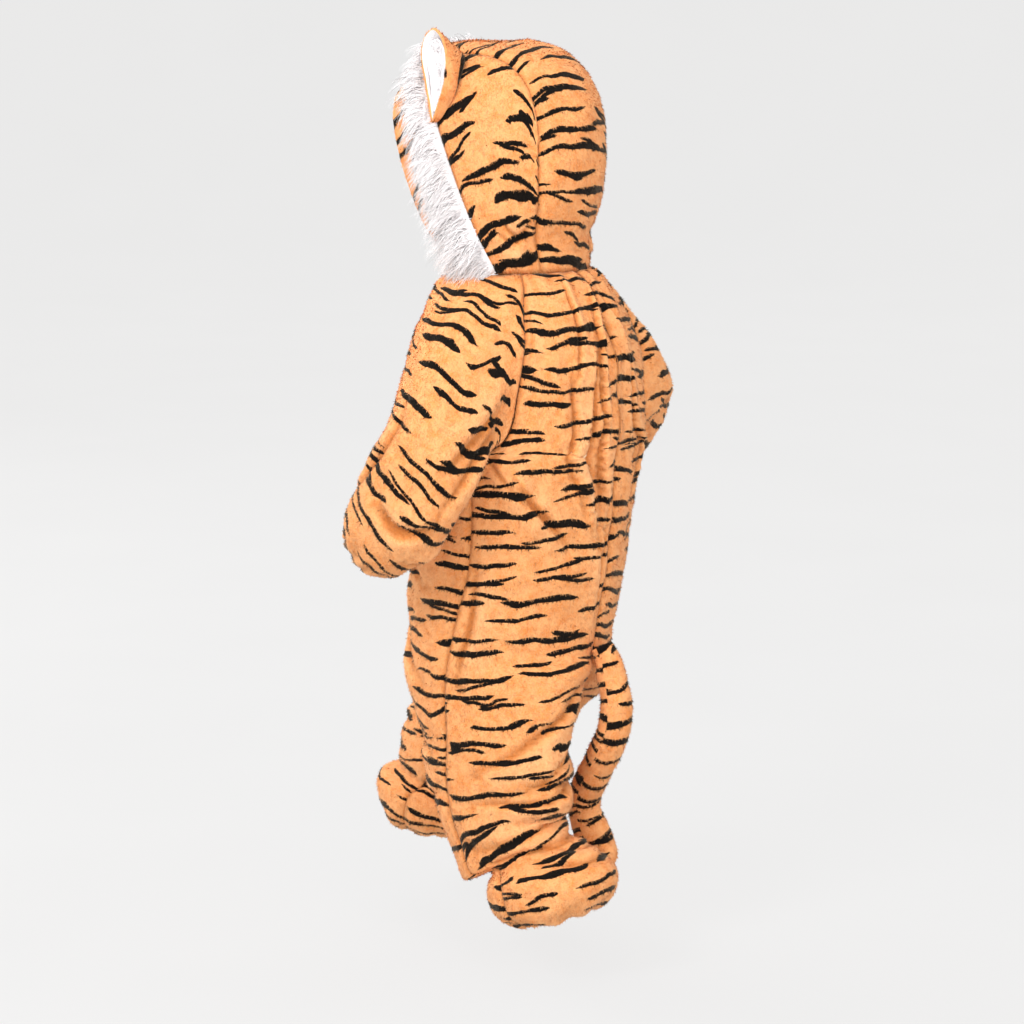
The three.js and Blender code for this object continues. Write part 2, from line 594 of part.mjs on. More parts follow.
function bodyGrid(side, face, legs, folds) {
  const grid = [];
  for (const z of TORSO_LEVELS) {
    const start = raglanAngle(side, face, z);
    const row = [];
    for (let i = 0; i <= CENTRE_COLUMNS; i += 1) {
      row.push(torsoPoint(side, z, mix(start, face * 90, i / CENTRE_COLUMNS)));
    }
    grid.push(row);
  }
  legs.forEach((row, index) => {
    grid.push(legRow(side, face, row, folds, legs.length - 1 - index));
  });
  return grid;
}

// Closed loop of the raglan seams: underarm, up the back, along the neck, down the front.
function raglanLoop(side) {
  const levels = TORSO_LEVELS.filter((z) => z >= ARMPIT_Z);
  const back = [...levels].reverse().map((z) => torsoPoint(side, z, raglanAngle(side, 1, z)));
  const front = levels.map((z) => torsoPoint(side, z, raglanAngle(side, -1, z)));
  const neck = [];
  for (let i = 1; i < NECK_ARC_COLUMNS; i += 1) {
    const angle = mix(raglanAngle(side, 1, 0), raglanAngle(side, -1, 0), i / NECK_ARC_COLUMNS);
    neck.push(torsoPoint(side, 0, angle));
  }
  const points = [...back, ...neck, ...front.slice(0, -1)];
  const turns = [];
  const spread = (list, from, to) => {
    const lengths = [0];
    for (let i = 1; i < list.length; i += 1) lengths.push(lengths[i - 1] + list[i].distanceTo(list[i - 1]));
    return lengths.map((length) => mix(from, to, length / lengths[lengths.length - 1]));
  };
  turns.push(...spread(back, 0, 180 - NECK_TURN));
  for (let i = 1; i < NECK_ARC_COLUMNS; i += 1) {
    turns.push(180 - NECK_TURN + (2 * NECK_TURN * i) / NECK_ARC_COLUMNS);
  }
  turns.push(...spread(front, 180 + NECK_TURN, 360).slice(0, -1));
  return { points, turns };
}

function sleeveSection(side, row, turn, gather) {
  const aim = vector(side * row.aimX, row.aimY, row.aimZ).normalize();
  const out = vector(side, 0, 0);
  out.sub(aim.clone().multiplyScalar(out.dot(aim))).normalize();
  const behind = aim.clone().cross(out).multiplyScalar(-side);
  if (behind.y < 0) behind.negate();
  const wave = 1 + (gather * Math.cos(radians(turn) * SLEEVE_GATHER.waves)) / row.deep;
  const point = vector(side * row.x, row.y, row.z)
    .add(out.multiplyScalar(-row.side * wave * Math.cos(radians(turn))))
    .add(behind.multiplyScalar(row.deep * wave * Math.sin(radians(turn))));
  return { point, aim };
}

// Blends the four directions of a sleeve head round the loop.
function headAim(head, side, turn) {
  const corners = [head.underarm, head.back, head.top, head.front];
  const place = turn / 90;
  const from = corners[Math.floor(place) % 4];
  const to = corners[(Math.floor(place) + 1) % 4];
  const t = smooth(place - Math.floor(place));
  const between = (key) => mix(from[key], to[key], t);
  return {
    aim: vector(side * between('aimX'), between('aimY'), between('aimZ')).normalize(),
    start: between('start'),
    end: between('end'),
  };
}

function sleeveGrid(side, sections, head) {
  const loop = raglanLoop(side);
  const grid = [];
  for (let j = 0; j < HEAD_ROWS; j += 1) {
    const t = j / HEAD_ROWS;
    grid.push(loop.points.map((point, i) => {
      if (j === 0) return point.clone();
      const first = sleeveSection(side, sections[0], loop.turns[i], 0);
      const { aim, start, end } = headAim(head, side, loop.turns[i]);
      const rib = new THREE.CubicBezierCurve3(
        point,
        point.clone().add(aim.multiplyScalar(start)),
        first.point.clone().sub(first.aim.multiplyScalar(end)),
        first.point,
      );
      return rib.getPoint(t);
    }));
  }
  sections.forEach((row, index) => {
    const toHem = sections.length - 1 - index;
    const gather = toHem < SLEEVE_GATHER.rows ? SLEEVE_GATHER.depth * (1 - toHem / SLEEVE_GATHER.rows) : 0;
    grid.push(loop.turns.map((turn) => sleeveSection(side, row, turn, gather).point));
  });
  return grid;
}

// Hood shell: 1 on the surface, less inside it.
function hoodLevel(x, y, z) {
  const low = Math.min(Math.max(z, 0), TEMPLE_Z);
  const half = sample(HOOD_SECTIONS, 'z', low, 'half');
  const mid = sample(HOOD_SECTIONS, 'z', low, 'mid');
  const depth = y > mid ? sample(HOOD_SECTIONS, 'z', low, 'back') : HOOD_FRONT_DEPTH;
  const flat = Math.hypot(x / half, (y - mid) / depth);
  const up = Math.max(0, z - TEMPLE_Z) / CROWN_RISE;
  return (flat ** CROWN_POWER + up ** CROWN_POWER) ** (1 / CROWN_POWER);
}

function solveShell(pointAt, far) {
  let low = 0;
  let high = far;
  for (let step = 0; step < SHELL_SEARCH.steps; step += 1) {
    const middle = (low + high) / 2;
    const p = pointAt(middle);
    if (hoodLevel(p.x, p.y, p.z) < 1) low = middle;
    else high = middle;
  }
  return pointAt((low + high) / 2);
}

const hoodAtAngle = (x, angle) => solveShell((r) => vector(
  x,
  HOOD_CENTRE.y + r * Math.cos(angle),
  HOOD_CENTRE.z + r * Math.sin(angle),
), SHELL_SEARCH.radius);
const hoodAtSide = (y, z) => solveShell((x) => vector(x, y, z), SHELL_SEARCH.side);
const neckBack = (x) => {
  const { half, back, mid } = HOOD_SECTIONS[0];
  return mid + back * Math.sqrt(1 - (x / half) ** 2);
};

// A column of the gusset: share runs from the seam on the right, -1, to the left, 1.
function gussetPoint(run, share) {
  const x = share * sample(GUSSET_WIDTHS, 'run', run, 'half');
  const start = Math.atan2(-HOOD_CENTRE.z, neckBack(x) - HOOD_CENTRE.y);
  let end = Math.PI * BROW_SEARCH.start;
  for (let step = 0; step < BROW_SEARCH.steps; step += 1) {
    const p = hoodAtAngle(x, end);
    const wanted = FACE_SEAM.y + FACE_SEAM.slope * p.z;
    end += (p.y - wanted) / BROW_SEARCH.reach;
  }
  const angle = mix(start, end, run);
  return run === 0 ? vector(x, neckBack(x), 0) : hoodAtAngle(x, angle);
}

const GUSSET_ROWS = 19;
const GUSSET_COLUMNS = 8;
const SIDE_CORNER_ROW = 9; // the gusset seam turns from the back to the crown here
const SIDE_ROWS = SIDE_CORNER_ROW;
const SIDE_COLUMNS = GUSSET_ROWS - SIDE_CORNER_ROW;

const seamAlongGusset = [];
for (let j = 0; j <= GUSSET_ROWS; j += 1) seamAlongGusset.push(gussetPoint(j / GUSSET_ROWS, 1));

function faceSeamPoint(share) {
  const brow = seamAlongGusset[GUSSET_ROWS];
  const z = brow.z * share;
  return share === 1 ? brow.clone() : hoodAtSide(FACE_SEAM.y + FACE_SEAM.slope * z, z);
}

// Side panel of the hood, from its four edges: neck, fur seam, crown and nape.
function hoodSideGrid() {
  const { half, back, mid } = HOOD_SECTIONS[0];
  const foot = Math.asin((FACE_SEAM.y - mid) / back);
  const nape = Math.acos(seamAlongGusset[0].x / half);
  const grid = [];
  for (let j = 0; j <= SIDE_ROWS; j += 1) {
    const v = j / SIDE_ROWS;
    const row = [];
    for (let i = 0; i <= SIDE_COLUMNS; i += 1) {
      const u = i / SIDE_COLUMNS;
      const angle = mix(foot, nape, u);
      const bottom = { y: mid + back * Math.sin(angle), z: 0 };
      const top = seamAlongGusset[GUSSET_ROWS - i];
      const left = faceSeamPoint(v);
      const right = seamAlongGusset[j];
      const corner = (a, b) => a * b;
      const blend = (key) => mix(left[key], right[key], u) + mix(bottom[key], top[key], v)
        - corner(1 - u, 1 - v) * (key === 'z' ? 0 : FACE_SEAM.y)
        - corner(u, 1 - v) * seamAlongGusset[0][key]
        - corner(1 - u, v) * seamAlongGusset[GUSSET_ROWS][key]
        - corner(u, v) * seamAlongGusset[SIDE_CORNER_ROW][key];
      if (j === 0) row.push(vector(half * Math.cos(angle), bottom.y, 0));
      else if (j === SIDE_ROWS) row.push(top.clone());
      else if (i === 0) row.push(left.clone());
      else if (i === SIDE_COLUMNS) row.push(right.clone());
      else row.push(hoodAtSide(blend('y'), blend('z')));
    }
    grid.push(row);
  }
  return grid;
}

const mirrored = (points) => points.map((p) => vector(-p.x, p.y, p.z));
const mirrorGrid = (grid) => grid.map((row) => mirrored(row));

// The ring round the face, from the left side of the neck over the brow to the right.
function faceLine(rows) {
  const left = curveThrough(rows, false, FACE_ROWS);
  left[0].z = 0;
  left[FACE_ROWS].x = 0;
  return [...left, ...mirrored(left.slice(0, -1)).reverse()];
}

function furSeamLine() {
  const left = [];
  for (let j = 0; j <= FACE_ROWS; j += 1) {
    const share = Math.min(1, j / FACE_ROWS / BROW_SHARE);
    if (share < 1) left.push(faceSeamPoint(share));
    else {
      const x = mix(seamAlongGusset[GUSSET_ROWS].x, 0, (j / FACE_ROWS - BROW_SHARE) / (1 - BROW_SHARE));
      left.push(gussetPoint(1, x / sample(GUSSET_WIDTHS, 'run', 1, 'half')));
    }
  }
  left[FACE_ROWS].x = 0;
  return [...left, ...mirrored(left.slice(0, -1)).reverse()];
}

// Bodies of cloth
const legsOf = { left: LEFT_LEG, right: RIGHT_LEG };
const foldsOf = { left: LEFT_LEG_FOLDS, right: RIGHT_LEG_FOLDS };
const neckEdge = { row: 0, z: -SEAM_INSET, from: 0, to: CENTRE_COLUMNS };
const openEnds = { first: 0, last: 0, start: SEAM_INSET, end: SEAM_INSET };
const armpitRow = TORSO_LEVELS.indexOf(ARMPIT_Z);
const crotchRow = TORSO_LEVELS.length + 3;
const clothGroup = [];
for (const [word, side] of [['left', 1], ['right', -1]]) {
  for (const [place, face] of [['back', 1], ['front', -1]]) {
    const grid = bodyGrid(side, face, legsOf[word], foldsOf[word]);
    clothGroup.push(addPatch(`${place}_${word}`, grid, {
      turned: side * face > 0,
      flatEdge: neckEdge,
      tightRows: [armpitRow - 1, armpitRow, crotchRow, crotchRow + 1],
      insets: openEnds,
    }));
  }
}
const sleeveNeck = { row: 0, z: -SEAM_INSET, from: armpitRow, to: armpitRow + NECK_ARC_COLUMNS };
for (const [word, side, sections, head] of [
  ['left', 1, LEFT_SLEEVE, LEFT_HEAD],
  ['right', -1, RIGHT_SLEEVE, RIGHT_HEAD],
]) {
  clothGroup.push(addPatch(`sleeve_${word}`, sleeveGrid(side, sections, head), {
    turned: side < 0,
    closed: true,
    flatEdge: sleeveNeck,
    insets: { first: SEAM_INSET, last: 0, start: 0, end: 0 },
  }));
}
weldNormals(clothGroup);

// Front panels stand back from the centre down to the zip's end
for (const [word, side] of [['left', 1], ['right', -1]]) {
  const panel = clothGroup.find((patch) => patch.name === `front_${word}`);
  panel.grid.forEach((row) => {
    const edge = row[row.length - 1];
    if (edge.z > ZIP.bottom - ZIP.step) edge.x = side * (FRONT_OPENING - SEAM_INSET);
  });
}
clothGroup.forEach(wallMesh);

// Hood
const hoodEdge = { row: 0, z: SEAM_INSET, from: 0, to: Infinity };
const gussetGrid = [];
for (let j = 0; j <= GUSSET_ROWS; j += 1) {
  const row = [];
  for (let i = 0; i <= GUSSET_COLUMNS; i += 1) {
    row.push(gussetPoint(j / GUSSET_ROWS, (2 * i) / GUSSET_COLUMNS - 1));
  }
  row[0] = mirrored([seamAlongGusset[j]])[0];
  row[GUSSET_COLUMNS] = seamAlongGusset[j].clone();
  gussetGrid.push(row);
}
const sideGrid = hoodSideGrid();
const hoodGroup = [
  addPatch('hood_gusset', gussetGrid, { turned: true, flatEdge: hoodEdge }),
  addPatch('hood_side_left', sideGrid, { turned: false, flatEdge: hoodEdge }),
  addPatch('hood_side_right', mirrorGrid(sideGrid), { turned: true, flatEdge: hoodEdge }),
];
weldNormals(hoodGroup);
hoodGroup.forEach(wallMesh);

// Fur ring and front band, whose rows run round the face
const furSeam = furSeamLine();
const furFront = faceLine(FUR_FRONT);
const faceRim = faceLine(FACE_RIM);
const ringColumns = (a, b, steps, lift) => a.map((p, j) => {
  const q = b[j];
  const row = [];
  for (let i = 0; i <= steps; i += 1) {
    const t = i / steps;
    const point = p.clone().lerp(q, t);
    const axis = vector(point.x, 0, point.z - HOOD_CENTRE.z).normalize();
    if (point.z < HOOD_CENTRE.z) axis.z *= JAW_TILT;
    const edge = j === 0 || j === a.length - 1;
    if (edge) axis.z = 0;
    row.push(point.add(axis.normalize().multiplyScalar(lift * Math.sin(Math.PI * t))));
  }
  return row;
});
const furGrid = ringColumns(furSeam, furFront, FUR_COLUMNS, FUR_LIFT);
const bandGrid = ringColumns(furFront, faceRim, BAND_COLUMNS, BAND_LIFT);
const neckLevel = (grid) => {
  for (const p of [...grid[0], ...grid[grid.length - 1]]) p.z = SEAM_INSET;
};
const ringInsets = { first: 0, last: 0, start: SEAM_INSET, end: SEAM_INSET };
const ringGroup = [
  addPatch('hood_fur_trim', furGrid, { turned: true, material: WHITE_FUR, insets: ringInsets }),
  addPatch('hood_front_band', bandGrid, { turned: true, insets: ringInsets }),
];
ringGroup.forEach((patch) => neckLevel(patch.grid));
weldNormals(ringGroup);
for (const patch of ringGroup) {
  for (const j of [0, patch.grid.length - 1]) patch.normals[j].forEach((n) => { n.z = 0; n.normalize(); });
}
ringGroup.forEach(wallMesh);

// Ears: an orange back that flares from the hood to its rim, and a white dish inside
function earGrids(side, drop) {
  const onHood = ({ y, z }) => hoodAtSide(y, z);
  const shellHalf = (y, z) => hoodAtSide(y, Math.min(z, EAR_SHELL_TOP)).x;
  const lower = (row) => {
    const y = row.y - FACE_SEAM.slope * drop;
    const z = row.z - drop;
    const widen = shellHalf(y, z) - shellHalf(row.y, row.z);
    return { x: row.x + widen, y, z };
  };
  const baseAt = (row) => {
    const p = onHood(lower(row));
    const ahead = onHood({ y: p.y - 1, z: p.z }).sub(p);
    const above = onHood({ y: p.y, z: p.z + 1 }).sub(p);
    return p.add(above.cross(ahead).setLength(REST_GAP));
  };
  const rimLoop = curveThrough(EAR_RIM.map(lower), true, EAR_COLUMNS);
  const baseLoop = curveThrough(EAR_BASE.map(baseAt), true, EAR_COLUMNS);
  const centre = rimLoop.reduce((sum, p) => sum.add(p), vector(0, 0, 0)).divideScalar(EAR_COLUMNS);
  const across = rimLoop[0].clone().sub(centre);
  const facing = across.cross(rimLoop[EAR_COLUMNS / 4].clone().sub(centre)).normalize();
  if (facing.x < 0) facing.negate();
  const outer = EAR_WALL_ROWS.map((t) => baseLoop.map((p, i) => {
    const away = rimLoop[i].clone().sub(centre).normalize();
    const belly = EAR_BELLY * Math.max(0, away.y) * Math.sin(Math.PI * t);
    return p.clone().lerp(rimLoop[i], t).add(away.multiplyScalar(belly));
  }));
  const wall = { grid: outer, closed: true, turned: false };
  weldNormals([wall]);
  const rimRow = outer.length - 1;
  const dish = EAR_DISH_ROWS.map((r) => rimLoop.map((p, i) => {
    const edge = p.clone().sub(wall.normals[rimRow][i].clone().multiplyScalar(CLOTH + EAR_DISH_INSET));
    const sunk = EAR_DISH * (1 - r * r) + EAR_DISH_TOP;
    const point = centre.clone().lerp(edge, r).sub(facing.clone().multiplyScalar(sunk));
    point.x = Math.max(point.x, onHood(point).x + EAR_DISH_CLEAR);
    return point;
  }));
  const place = (grid) => (side > 0 ? grid : mirrorGrid(grid));
  return { outer: place(outer), dish: place(dish) };
}
for (const [word, side, drop] of [['left', 1, 0], ['right', -1, RIGHT_EAR_DROP]]) {
  const { outer, dish } = earGrids(side, drop);
  const noInset = { first: 0, last: 0, start: 0, end: 0 };
  const wall = addPatch(`ear_${word}_outer`, outer, { closed: true, turned: side < 0, insets: noInset });
  weldNormals([wall]);
  wall.clear = (p) => {
    const shell = hoodAtSide(p.y, p.z).x;
    p.x = side * Math.max(side * p.x, shell + REST_GAP);
  };
  wallMesh(wall);
  const lining = addPatch(`ear_${word}_inner`, dish, {
    closed: true, turned: side < 0, insets: noInset, thickness: LINING, material: WHITE_FUR,
  });
  weldNormals([lining]);
  dishMesh(lining);
}

// The lining's innermost row closes on a middle point, front and back.
function dishMesh(patch) {
  const { grid, normals, turned, thickness } = patch;
  const rows = grid.length;
  const columns = grid[0].length;
  const behind = (p, j, i) => p.clone().sub(normals[j][i].clone().multiplyScalar(thickness));
  const inner = grid.map((row, j) => row.map((p, i) => behind(p, j, i)));
  const positions = [];
  const middle = (points) => points.reduce((sum, p) => sum.add(p), vector(0, 0, 0)).divideScalar(columns);
  for (const p of [...grid.flat(), ...inner.flat()]) positions.push(p.x, p.y, p.z);
  const tips = [middle(grid[rows - 1]), middle(inner[rows - 1])];
  for (const p of tips) positions.push(p.x, p.y, p.z);
  const tip = (layer) => 2 * rows * columns + layer;
  const at = (layer, j, i) => layer * rows * columns + j * columns + (i % columns);
  const indices = [];
  const face = (a, b, c, reverse) => indices.push(...(reverse !== turned ? [a, c, b] : [a, b, c]));
  for (let i = 0; i < columns; i += 1) {
    for (let j = 0; j < rows - 1; j += 1) {
      for (const layer of [0, 1]) {
        const quad = [at(layer, j, i), at(layer, j, i + 1), at(layer, j + 1, i + 1), at(layer, j + 1, i)];
        face(quad[0], quad[1], quad[2], layer === 1);
        face(quad[0], quad[2], quad[3], layer === 1);
      }
    }
    for (const layer of [0, 1]) {
      face(at(layer, rows - 1, i), at(layer, rows - 1, i + 1), tip(layer), layer === 1);
    }
    face(at(0, 0, i), at(0, 0, i + 1), at(1, 0, i + 1), true);
    face(at(0, 0, i), at(1, 0, i + 1), at(1, 0, i), true);
  }
  solid(patch.name, positions, indices, patch.material);
}

// Tail
function tailMesh() {
  const path = TAIL_PATH;
  const positions = [];
  const indices = [];
  const rows = path.length;
  path.forEach((row, j) => {
    const before = path[Math.max(j - 1, 0)];
    const after = path[Math.min(j + 1, rows - 1)];
    const aim = vector(after.x - before.x, after.y - before.y, after.z - before.z).normalize();
    if (j === 0) aim.set(0, TAIL_START.y, TAIL_START.z).normalize();
    const out = vector(1, 0, 0).sub(aim.clone().multiplyScalar(aim.x)).normalize();
    const up = out.clone().cross(aim).normalize();
    for (let i = 0; i < TAIL_SIDES; i += 1) {
      const turn = (2 * Math.PI * i) / TAIL_SIDES;
      const p = vector(row.x, row.y, row.z)
        .add(out.clone().multiplyScalar(row.radius * Math.cos(turn)))
        .add(up.clone().multiplyScalar(row.radius * Math.sin(turn)));
      if (j === 0) {
        const z = Math.max(p.z, TORSO[TORSO.length - 1].z);
        const back = sample(TORSO, 'z', z, 'back');
        const half = sample(TORSO, 'z', z, 'left');
        const seat = sample(TORSO, 'z', z, 'mid') + back * Math.sqrt(1 - (p.x / half) ** 2);
        p.y = seat + TAIL_SINK;
      }
      positions.push(p.x, p.y, p.z);
    }
  });
  const first = path[0];
  const last = path[rows - 1];
  const seatBehind = sample(TORSO, 'z', first.z, 'back') + sample(TORSO, 'z', first.z, 'mid');
  positions.push(first.x, seatBehind + TAIL_SINK, first.z);
  positions.push(last.x, last.y, last.z - last.radius * TAIL_TIP);
  const at = (j, i) => j * TAIL_SIDES + (i % TAIL_SIDES);
  const root = rows * TAIL_SIDES;
  for (let j = 0; j < rows - 1; j += 1) {
    for (let i = 0; i < TAIL_SIDES; i += 1) {
      indices.push(at(j, i), at(j + 1, i + 1), at(j, i + 1), at(j, i), at(j + 1, i), at(j + 1, i + 1));
    }
  }
  for (let i = 0; i < TAIL_SIDES; i += 1) {
    indices.push(root, at(0, i), at(0, i + 1));
    indices.push(root + 1, at(rows - 1, i + 1), at(rows - 1, i));
  }
  solid('tail', positions, indices, ORANGE_PLUSH);
}
tailMesh();

// Zip. Its parts follow the centre front, behind the outer face of the panels.
const frontLine = (z) => sample(TORSO, 'z', z, 'mid') - sample(TORSO, 'z', z, 'front');

function ribbon(name, x0, x1, depthMiddle, deep, from, to, material) {
  const positions = [];
  const indices = [];
  const count = Math.round((from - to) / ZIP.step);
  for (let j = 0; j <= count; j += 1) {
    const z = mix(from, to, j / count);
    const rise = vector(0, frontLine(z - 1) - frontLine(z + 1), -2).normalize();
    const into = vector(0, -rise.z, rise.y);
    const middle = vector(0, frontLine(z), z).add(into.clone().multiplyScalar(depthMiddle));
    for (const [x, d] of [[x0, -deep / 2], [x1, -deep / 2], [x1, deep / 2], [x0, deep / 2]]) {
      positions.push(x, middle.y + into.y * d, middle.z + into.z * d);
    }
  }
  const at = (j, i) => j * 4 + (i % 4);
  for (let j = 0; j < count; j += 1) {
    for (let i = 0; i < 4; i += 1) {
      indices.push(at(j, i), at(j + 1, i + 1), at(j, i + 1), at(j, i), at(j + 1, i), at(j + 1, i + 1));
    }
  }
  indices.push(at(0, 0), at(0, 1), at(0, 2), at(0, 0), at(0, 2), at(0, 3));
  indices.push(at(count, 0), at(count, 2), at(count, 1), at(count, 0), at(count, 3), at(count, 2));
  solid(name, positions, indices, material);
}
const tapeInner = ZIP.chainHalf + ZIP.tapeGap;
ribbon('zip_tape_left', tapeInner, ZIP.tapeOuter, ZIP.middle, ZIP.tapeDeep, ZIP.top, ZIP.bottom, BLACK_TAPE);
ribbon('zip_tape_right', -ZIP.tapeOuter, -tapeInner, ZIP.middle, ZIP.tapeDeep, ZIP.top, ZIP.bottom, BLACK_TAPE);
const chainTop = SLIDER.z + SLIDER.tall / 2 - SLIDER.bridgeTall - SLIDER.chainGap;
ribbon('zip_chain', -ZIP.chainHalf, ZIP.chainHalf, ZIP.middle, ZIP.chainDeep, chainTop, ZIP.bottom, ZIP_METAL);

// The slider's frame: x across, y into the costume, z along the front, upwards.
const wasm = await Module();
wasm.setup();

function manifoldOf(geometry) {
  const bare = geometry.clone();
  bare.deleteAttribute('normal');
  bare.deleteAttribute('uv');
  const welded = mergeVertices(bare);
  return new wasm.Manifold(new wasm.Mesh({
    numProp: 3,
    vertProperties: new Float32Array(welded.attributes.position.array),
    triVerts: new Uint32Array(welded.index.array),
  }));
}

// A block from its half width, its depths and its levels.
function block(half, y0, y1, z0, z1) {
  const geometry = new THREE.BoxGeometry(2 * half, y1 - y0, z1 - z0);
  geometry.translate(0, (y0 + y1) / 2, (z0 + z1) / 2);
  return manifoldOf(geometry);
}

function rod(radius, half, depth) {
  const geometry = new THREE.CylinderGeometry(radius, radius, 2 * half, BAIL.segments);
  geometry.rotateZ(Math.PI / 2);
  geometry.translate(0, depth, 0);
  return manifoldOf(geometry);
}

const frontTilt = Math.atan2(
  frontLine(SLIDER.z + SLIDER.tall / 2) - frontLine(SLIDER.z - SLIDER.tall / 2),
  SLIDER.tall,
);
const sliderFrame = new THREE.Matrix4()
  .makeRotationX(-frontTilt)
  .setPosition(0, frontLine(SLIDER.z), SLIDER.z);

function placed(name, shape, material) {
  const { vertProperties, triVerts } = shape.getMesh();
  const geometry = new THREE.BufferGeometry();
  geometry.setAttribute('position', new THREE.Float32BufferAttribute(vertProperties, 3));
  geometry.setIndex([...triVerts]);
  geometry.applyMatrix4(sliderFrame);
  solid(name, [...geometry.attributes.position.array], [...geometry.index.array], material);
}

const tallHalf = SLIDER.tall / 2;
const plateBack = SLIDER.frontAt + SLIDER.plate;
const plateMiddle = SLIDER.frontAt + SLIDER.plate / 2;
const ring = rod(BAIL.outer, BAIL.half, SLIDER.frontAt)
  .subtract(rod(BAIL.inner, 2 * BAIL.half, SLIDER.frontAt))
  .intersect(block(2 * BAIL.half, SLIDER.frontAt - 2 * BAIL.outer, plateMiddle, -tallHalf, tallHalf));
const farBack = SLIDER.backAt + SLIDER.plate;
const slider = block(SLIDER.frontHalf, SLIDER.frontAt, plateBack, -tallHalf, tallHalf)
  .add(block(SLIDER.bridgeHalf, SLIDER.frontAt, farBack, tallHalf - SLIDER.bridgeTall, tallHalf))
  .add(block(SLIDER.backHalf, SLIDER.backAt, farBack, -tallHalf, tallHalf))
  .add(ring);
placed('zip_slider', slider, ZIP_METAL);

const tabMiddle = SLIDER.frontAt - TAB.ahead;
const tabFront = tabMiddle - TAB.deep / 2;
const tab = block(TAB.half, tabFront, tabFront + TAB.deep, -TAB.long, TAB.above)
  .subtract(block(TAB.slotHalf, tabFront - 1, tabFront + TAB.deep + 1, -TAB.slotEnd, -TAB.slotTop));
placed('zip_pull_tab', tab, ZIP_METAL);

export default garment;
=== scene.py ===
"""Tiger jumpsuit costume for a small child, dressed for the studio.

Sizes are in millimetres until a mesh is made. The wearer faces -Y, the wearer's left is
+X, and the origin is the centre of the neck seam.
"""

from __future__ import annotations

import json
import logging
import math
from dataclasses import dataclass, field
from enum import Enum

import bpy
import numpy as np
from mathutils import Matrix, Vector

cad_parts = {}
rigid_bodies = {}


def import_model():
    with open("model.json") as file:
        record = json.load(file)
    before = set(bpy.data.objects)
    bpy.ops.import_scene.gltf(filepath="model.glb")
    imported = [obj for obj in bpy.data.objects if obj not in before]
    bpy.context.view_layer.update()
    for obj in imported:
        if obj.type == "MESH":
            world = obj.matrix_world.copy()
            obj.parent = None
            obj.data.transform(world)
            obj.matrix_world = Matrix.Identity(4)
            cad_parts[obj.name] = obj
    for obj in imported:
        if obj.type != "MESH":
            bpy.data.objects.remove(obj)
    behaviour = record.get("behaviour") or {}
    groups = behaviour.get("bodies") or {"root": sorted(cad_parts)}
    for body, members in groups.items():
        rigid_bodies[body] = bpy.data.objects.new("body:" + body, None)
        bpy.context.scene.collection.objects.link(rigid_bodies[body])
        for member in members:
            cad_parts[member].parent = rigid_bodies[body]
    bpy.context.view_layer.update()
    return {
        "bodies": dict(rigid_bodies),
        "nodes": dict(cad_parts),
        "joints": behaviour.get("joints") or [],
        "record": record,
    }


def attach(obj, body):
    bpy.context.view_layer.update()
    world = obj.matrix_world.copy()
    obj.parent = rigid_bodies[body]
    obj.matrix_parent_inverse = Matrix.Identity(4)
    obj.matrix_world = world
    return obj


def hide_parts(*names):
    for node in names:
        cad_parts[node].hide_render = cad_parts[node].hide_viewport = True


LOG = logging.getLogger("tiger_jumpsuit")
MM = 0.001
Numbers = np.ndarray


class Table:
    """Rows of named sizes, read on a smooth curve through them."""

    def __init__(self, columns: str, rows: tuple[tuple[float, ...], ...]) -> None:
        """Keeps the rows in rising order of their first column.

        Args:
            columns: Names of the columns, the key first.
            rows: The sizes.
        """
        self.columns = columns.split()
        values = np.array(rows, dtype=float)
        self.rows = values if values[0, 0] < values[-1, 0] else values[::-1]

    def read(self, at: Numbers | float, column: str) -> Numbers:
        """Value of a column between the rows.

        Args:
            at: Keys to read at, held within the table.
            column: The column's name.

        Returns:
            The values, in the shape of at.
        """
        key = self.rows[:, 0]
        value = self.rows[:, self.columns.index(column)]
        at = np.clip(np.asarray(at, dtype=float), key[0], key[-1])
        i = np.clip(np.searchsorted(key, at, side="right") - 1, 0, len(key) - 2)
        slope = np.empty_like(value)
        slope[1:-1] = (value[2:] - value[:-2]) / (key[2:] - key[:-2])
        slope[0] = (value[1] - value[0]) / (key[1] - key[0])
        slope[-1] = (value[-1] - value[-2]) / (key[-1] - key[-2])
        span = key[i + 1] - key[i]
        t = (at - key[i]) / span
        t2, t3 = t * t, t * t * t
        return (
            (2 * t3 - 3 * t2 + 1) * value[i]
            + (t3 - 2 * t2 + t) * slope[i] * span
            + (3 * t2 - 2 * t3) * value[i + 1]
            + (t3 - t2) * slope[i + 1] * span
        )


# Body sections, from the neck seam down
TORSO = Table("z left right back front mid seam", (
    (0, 80, 80, 68, 66, 9, 8),
    (-12, 88, 90, 80, 72, 11, 8),
    (-27, 97, 101, 88, 79, 12, 8),
    (-45, 107, 116, 96, 86, 13, 8),
    (-65, 113, 129, 103, 92, 14, 8),
    (-90, 117, 136, 107, 97, 14.5, 8),
    (-125, 119, 139, 109, 101, 15, 8),
    (-153, 121, 139, 109, 104, 15.5, 8),
    (-176, 122, 133, 107, 106, 16, 8),
    (-211, 121, 124, 106, 108, 15, 8),
    (-252, 117, 118, 105, 107, 12, 8),
    (-293, 113, 114, 104, 105, 9, 6),
    (-334, 111, 111, 102, 104, 3, 2),
    (-376, 109, 109, 98, 101, 0, -3),
))
RAGLAN = Table("z back_left back_right front", (
    (0, 38, 42, 40),
    (-30, 37, 50, 42),
    (-60, 37, 52, 42),
    (-100, 34, 51, 38),
    (-126, 31, 50, 34),
    (-153, 28, 45, 25),
    (-166, 20, 30, 10),
    (-176, 8, 8, -8),
))
ARMPIT = -176.0
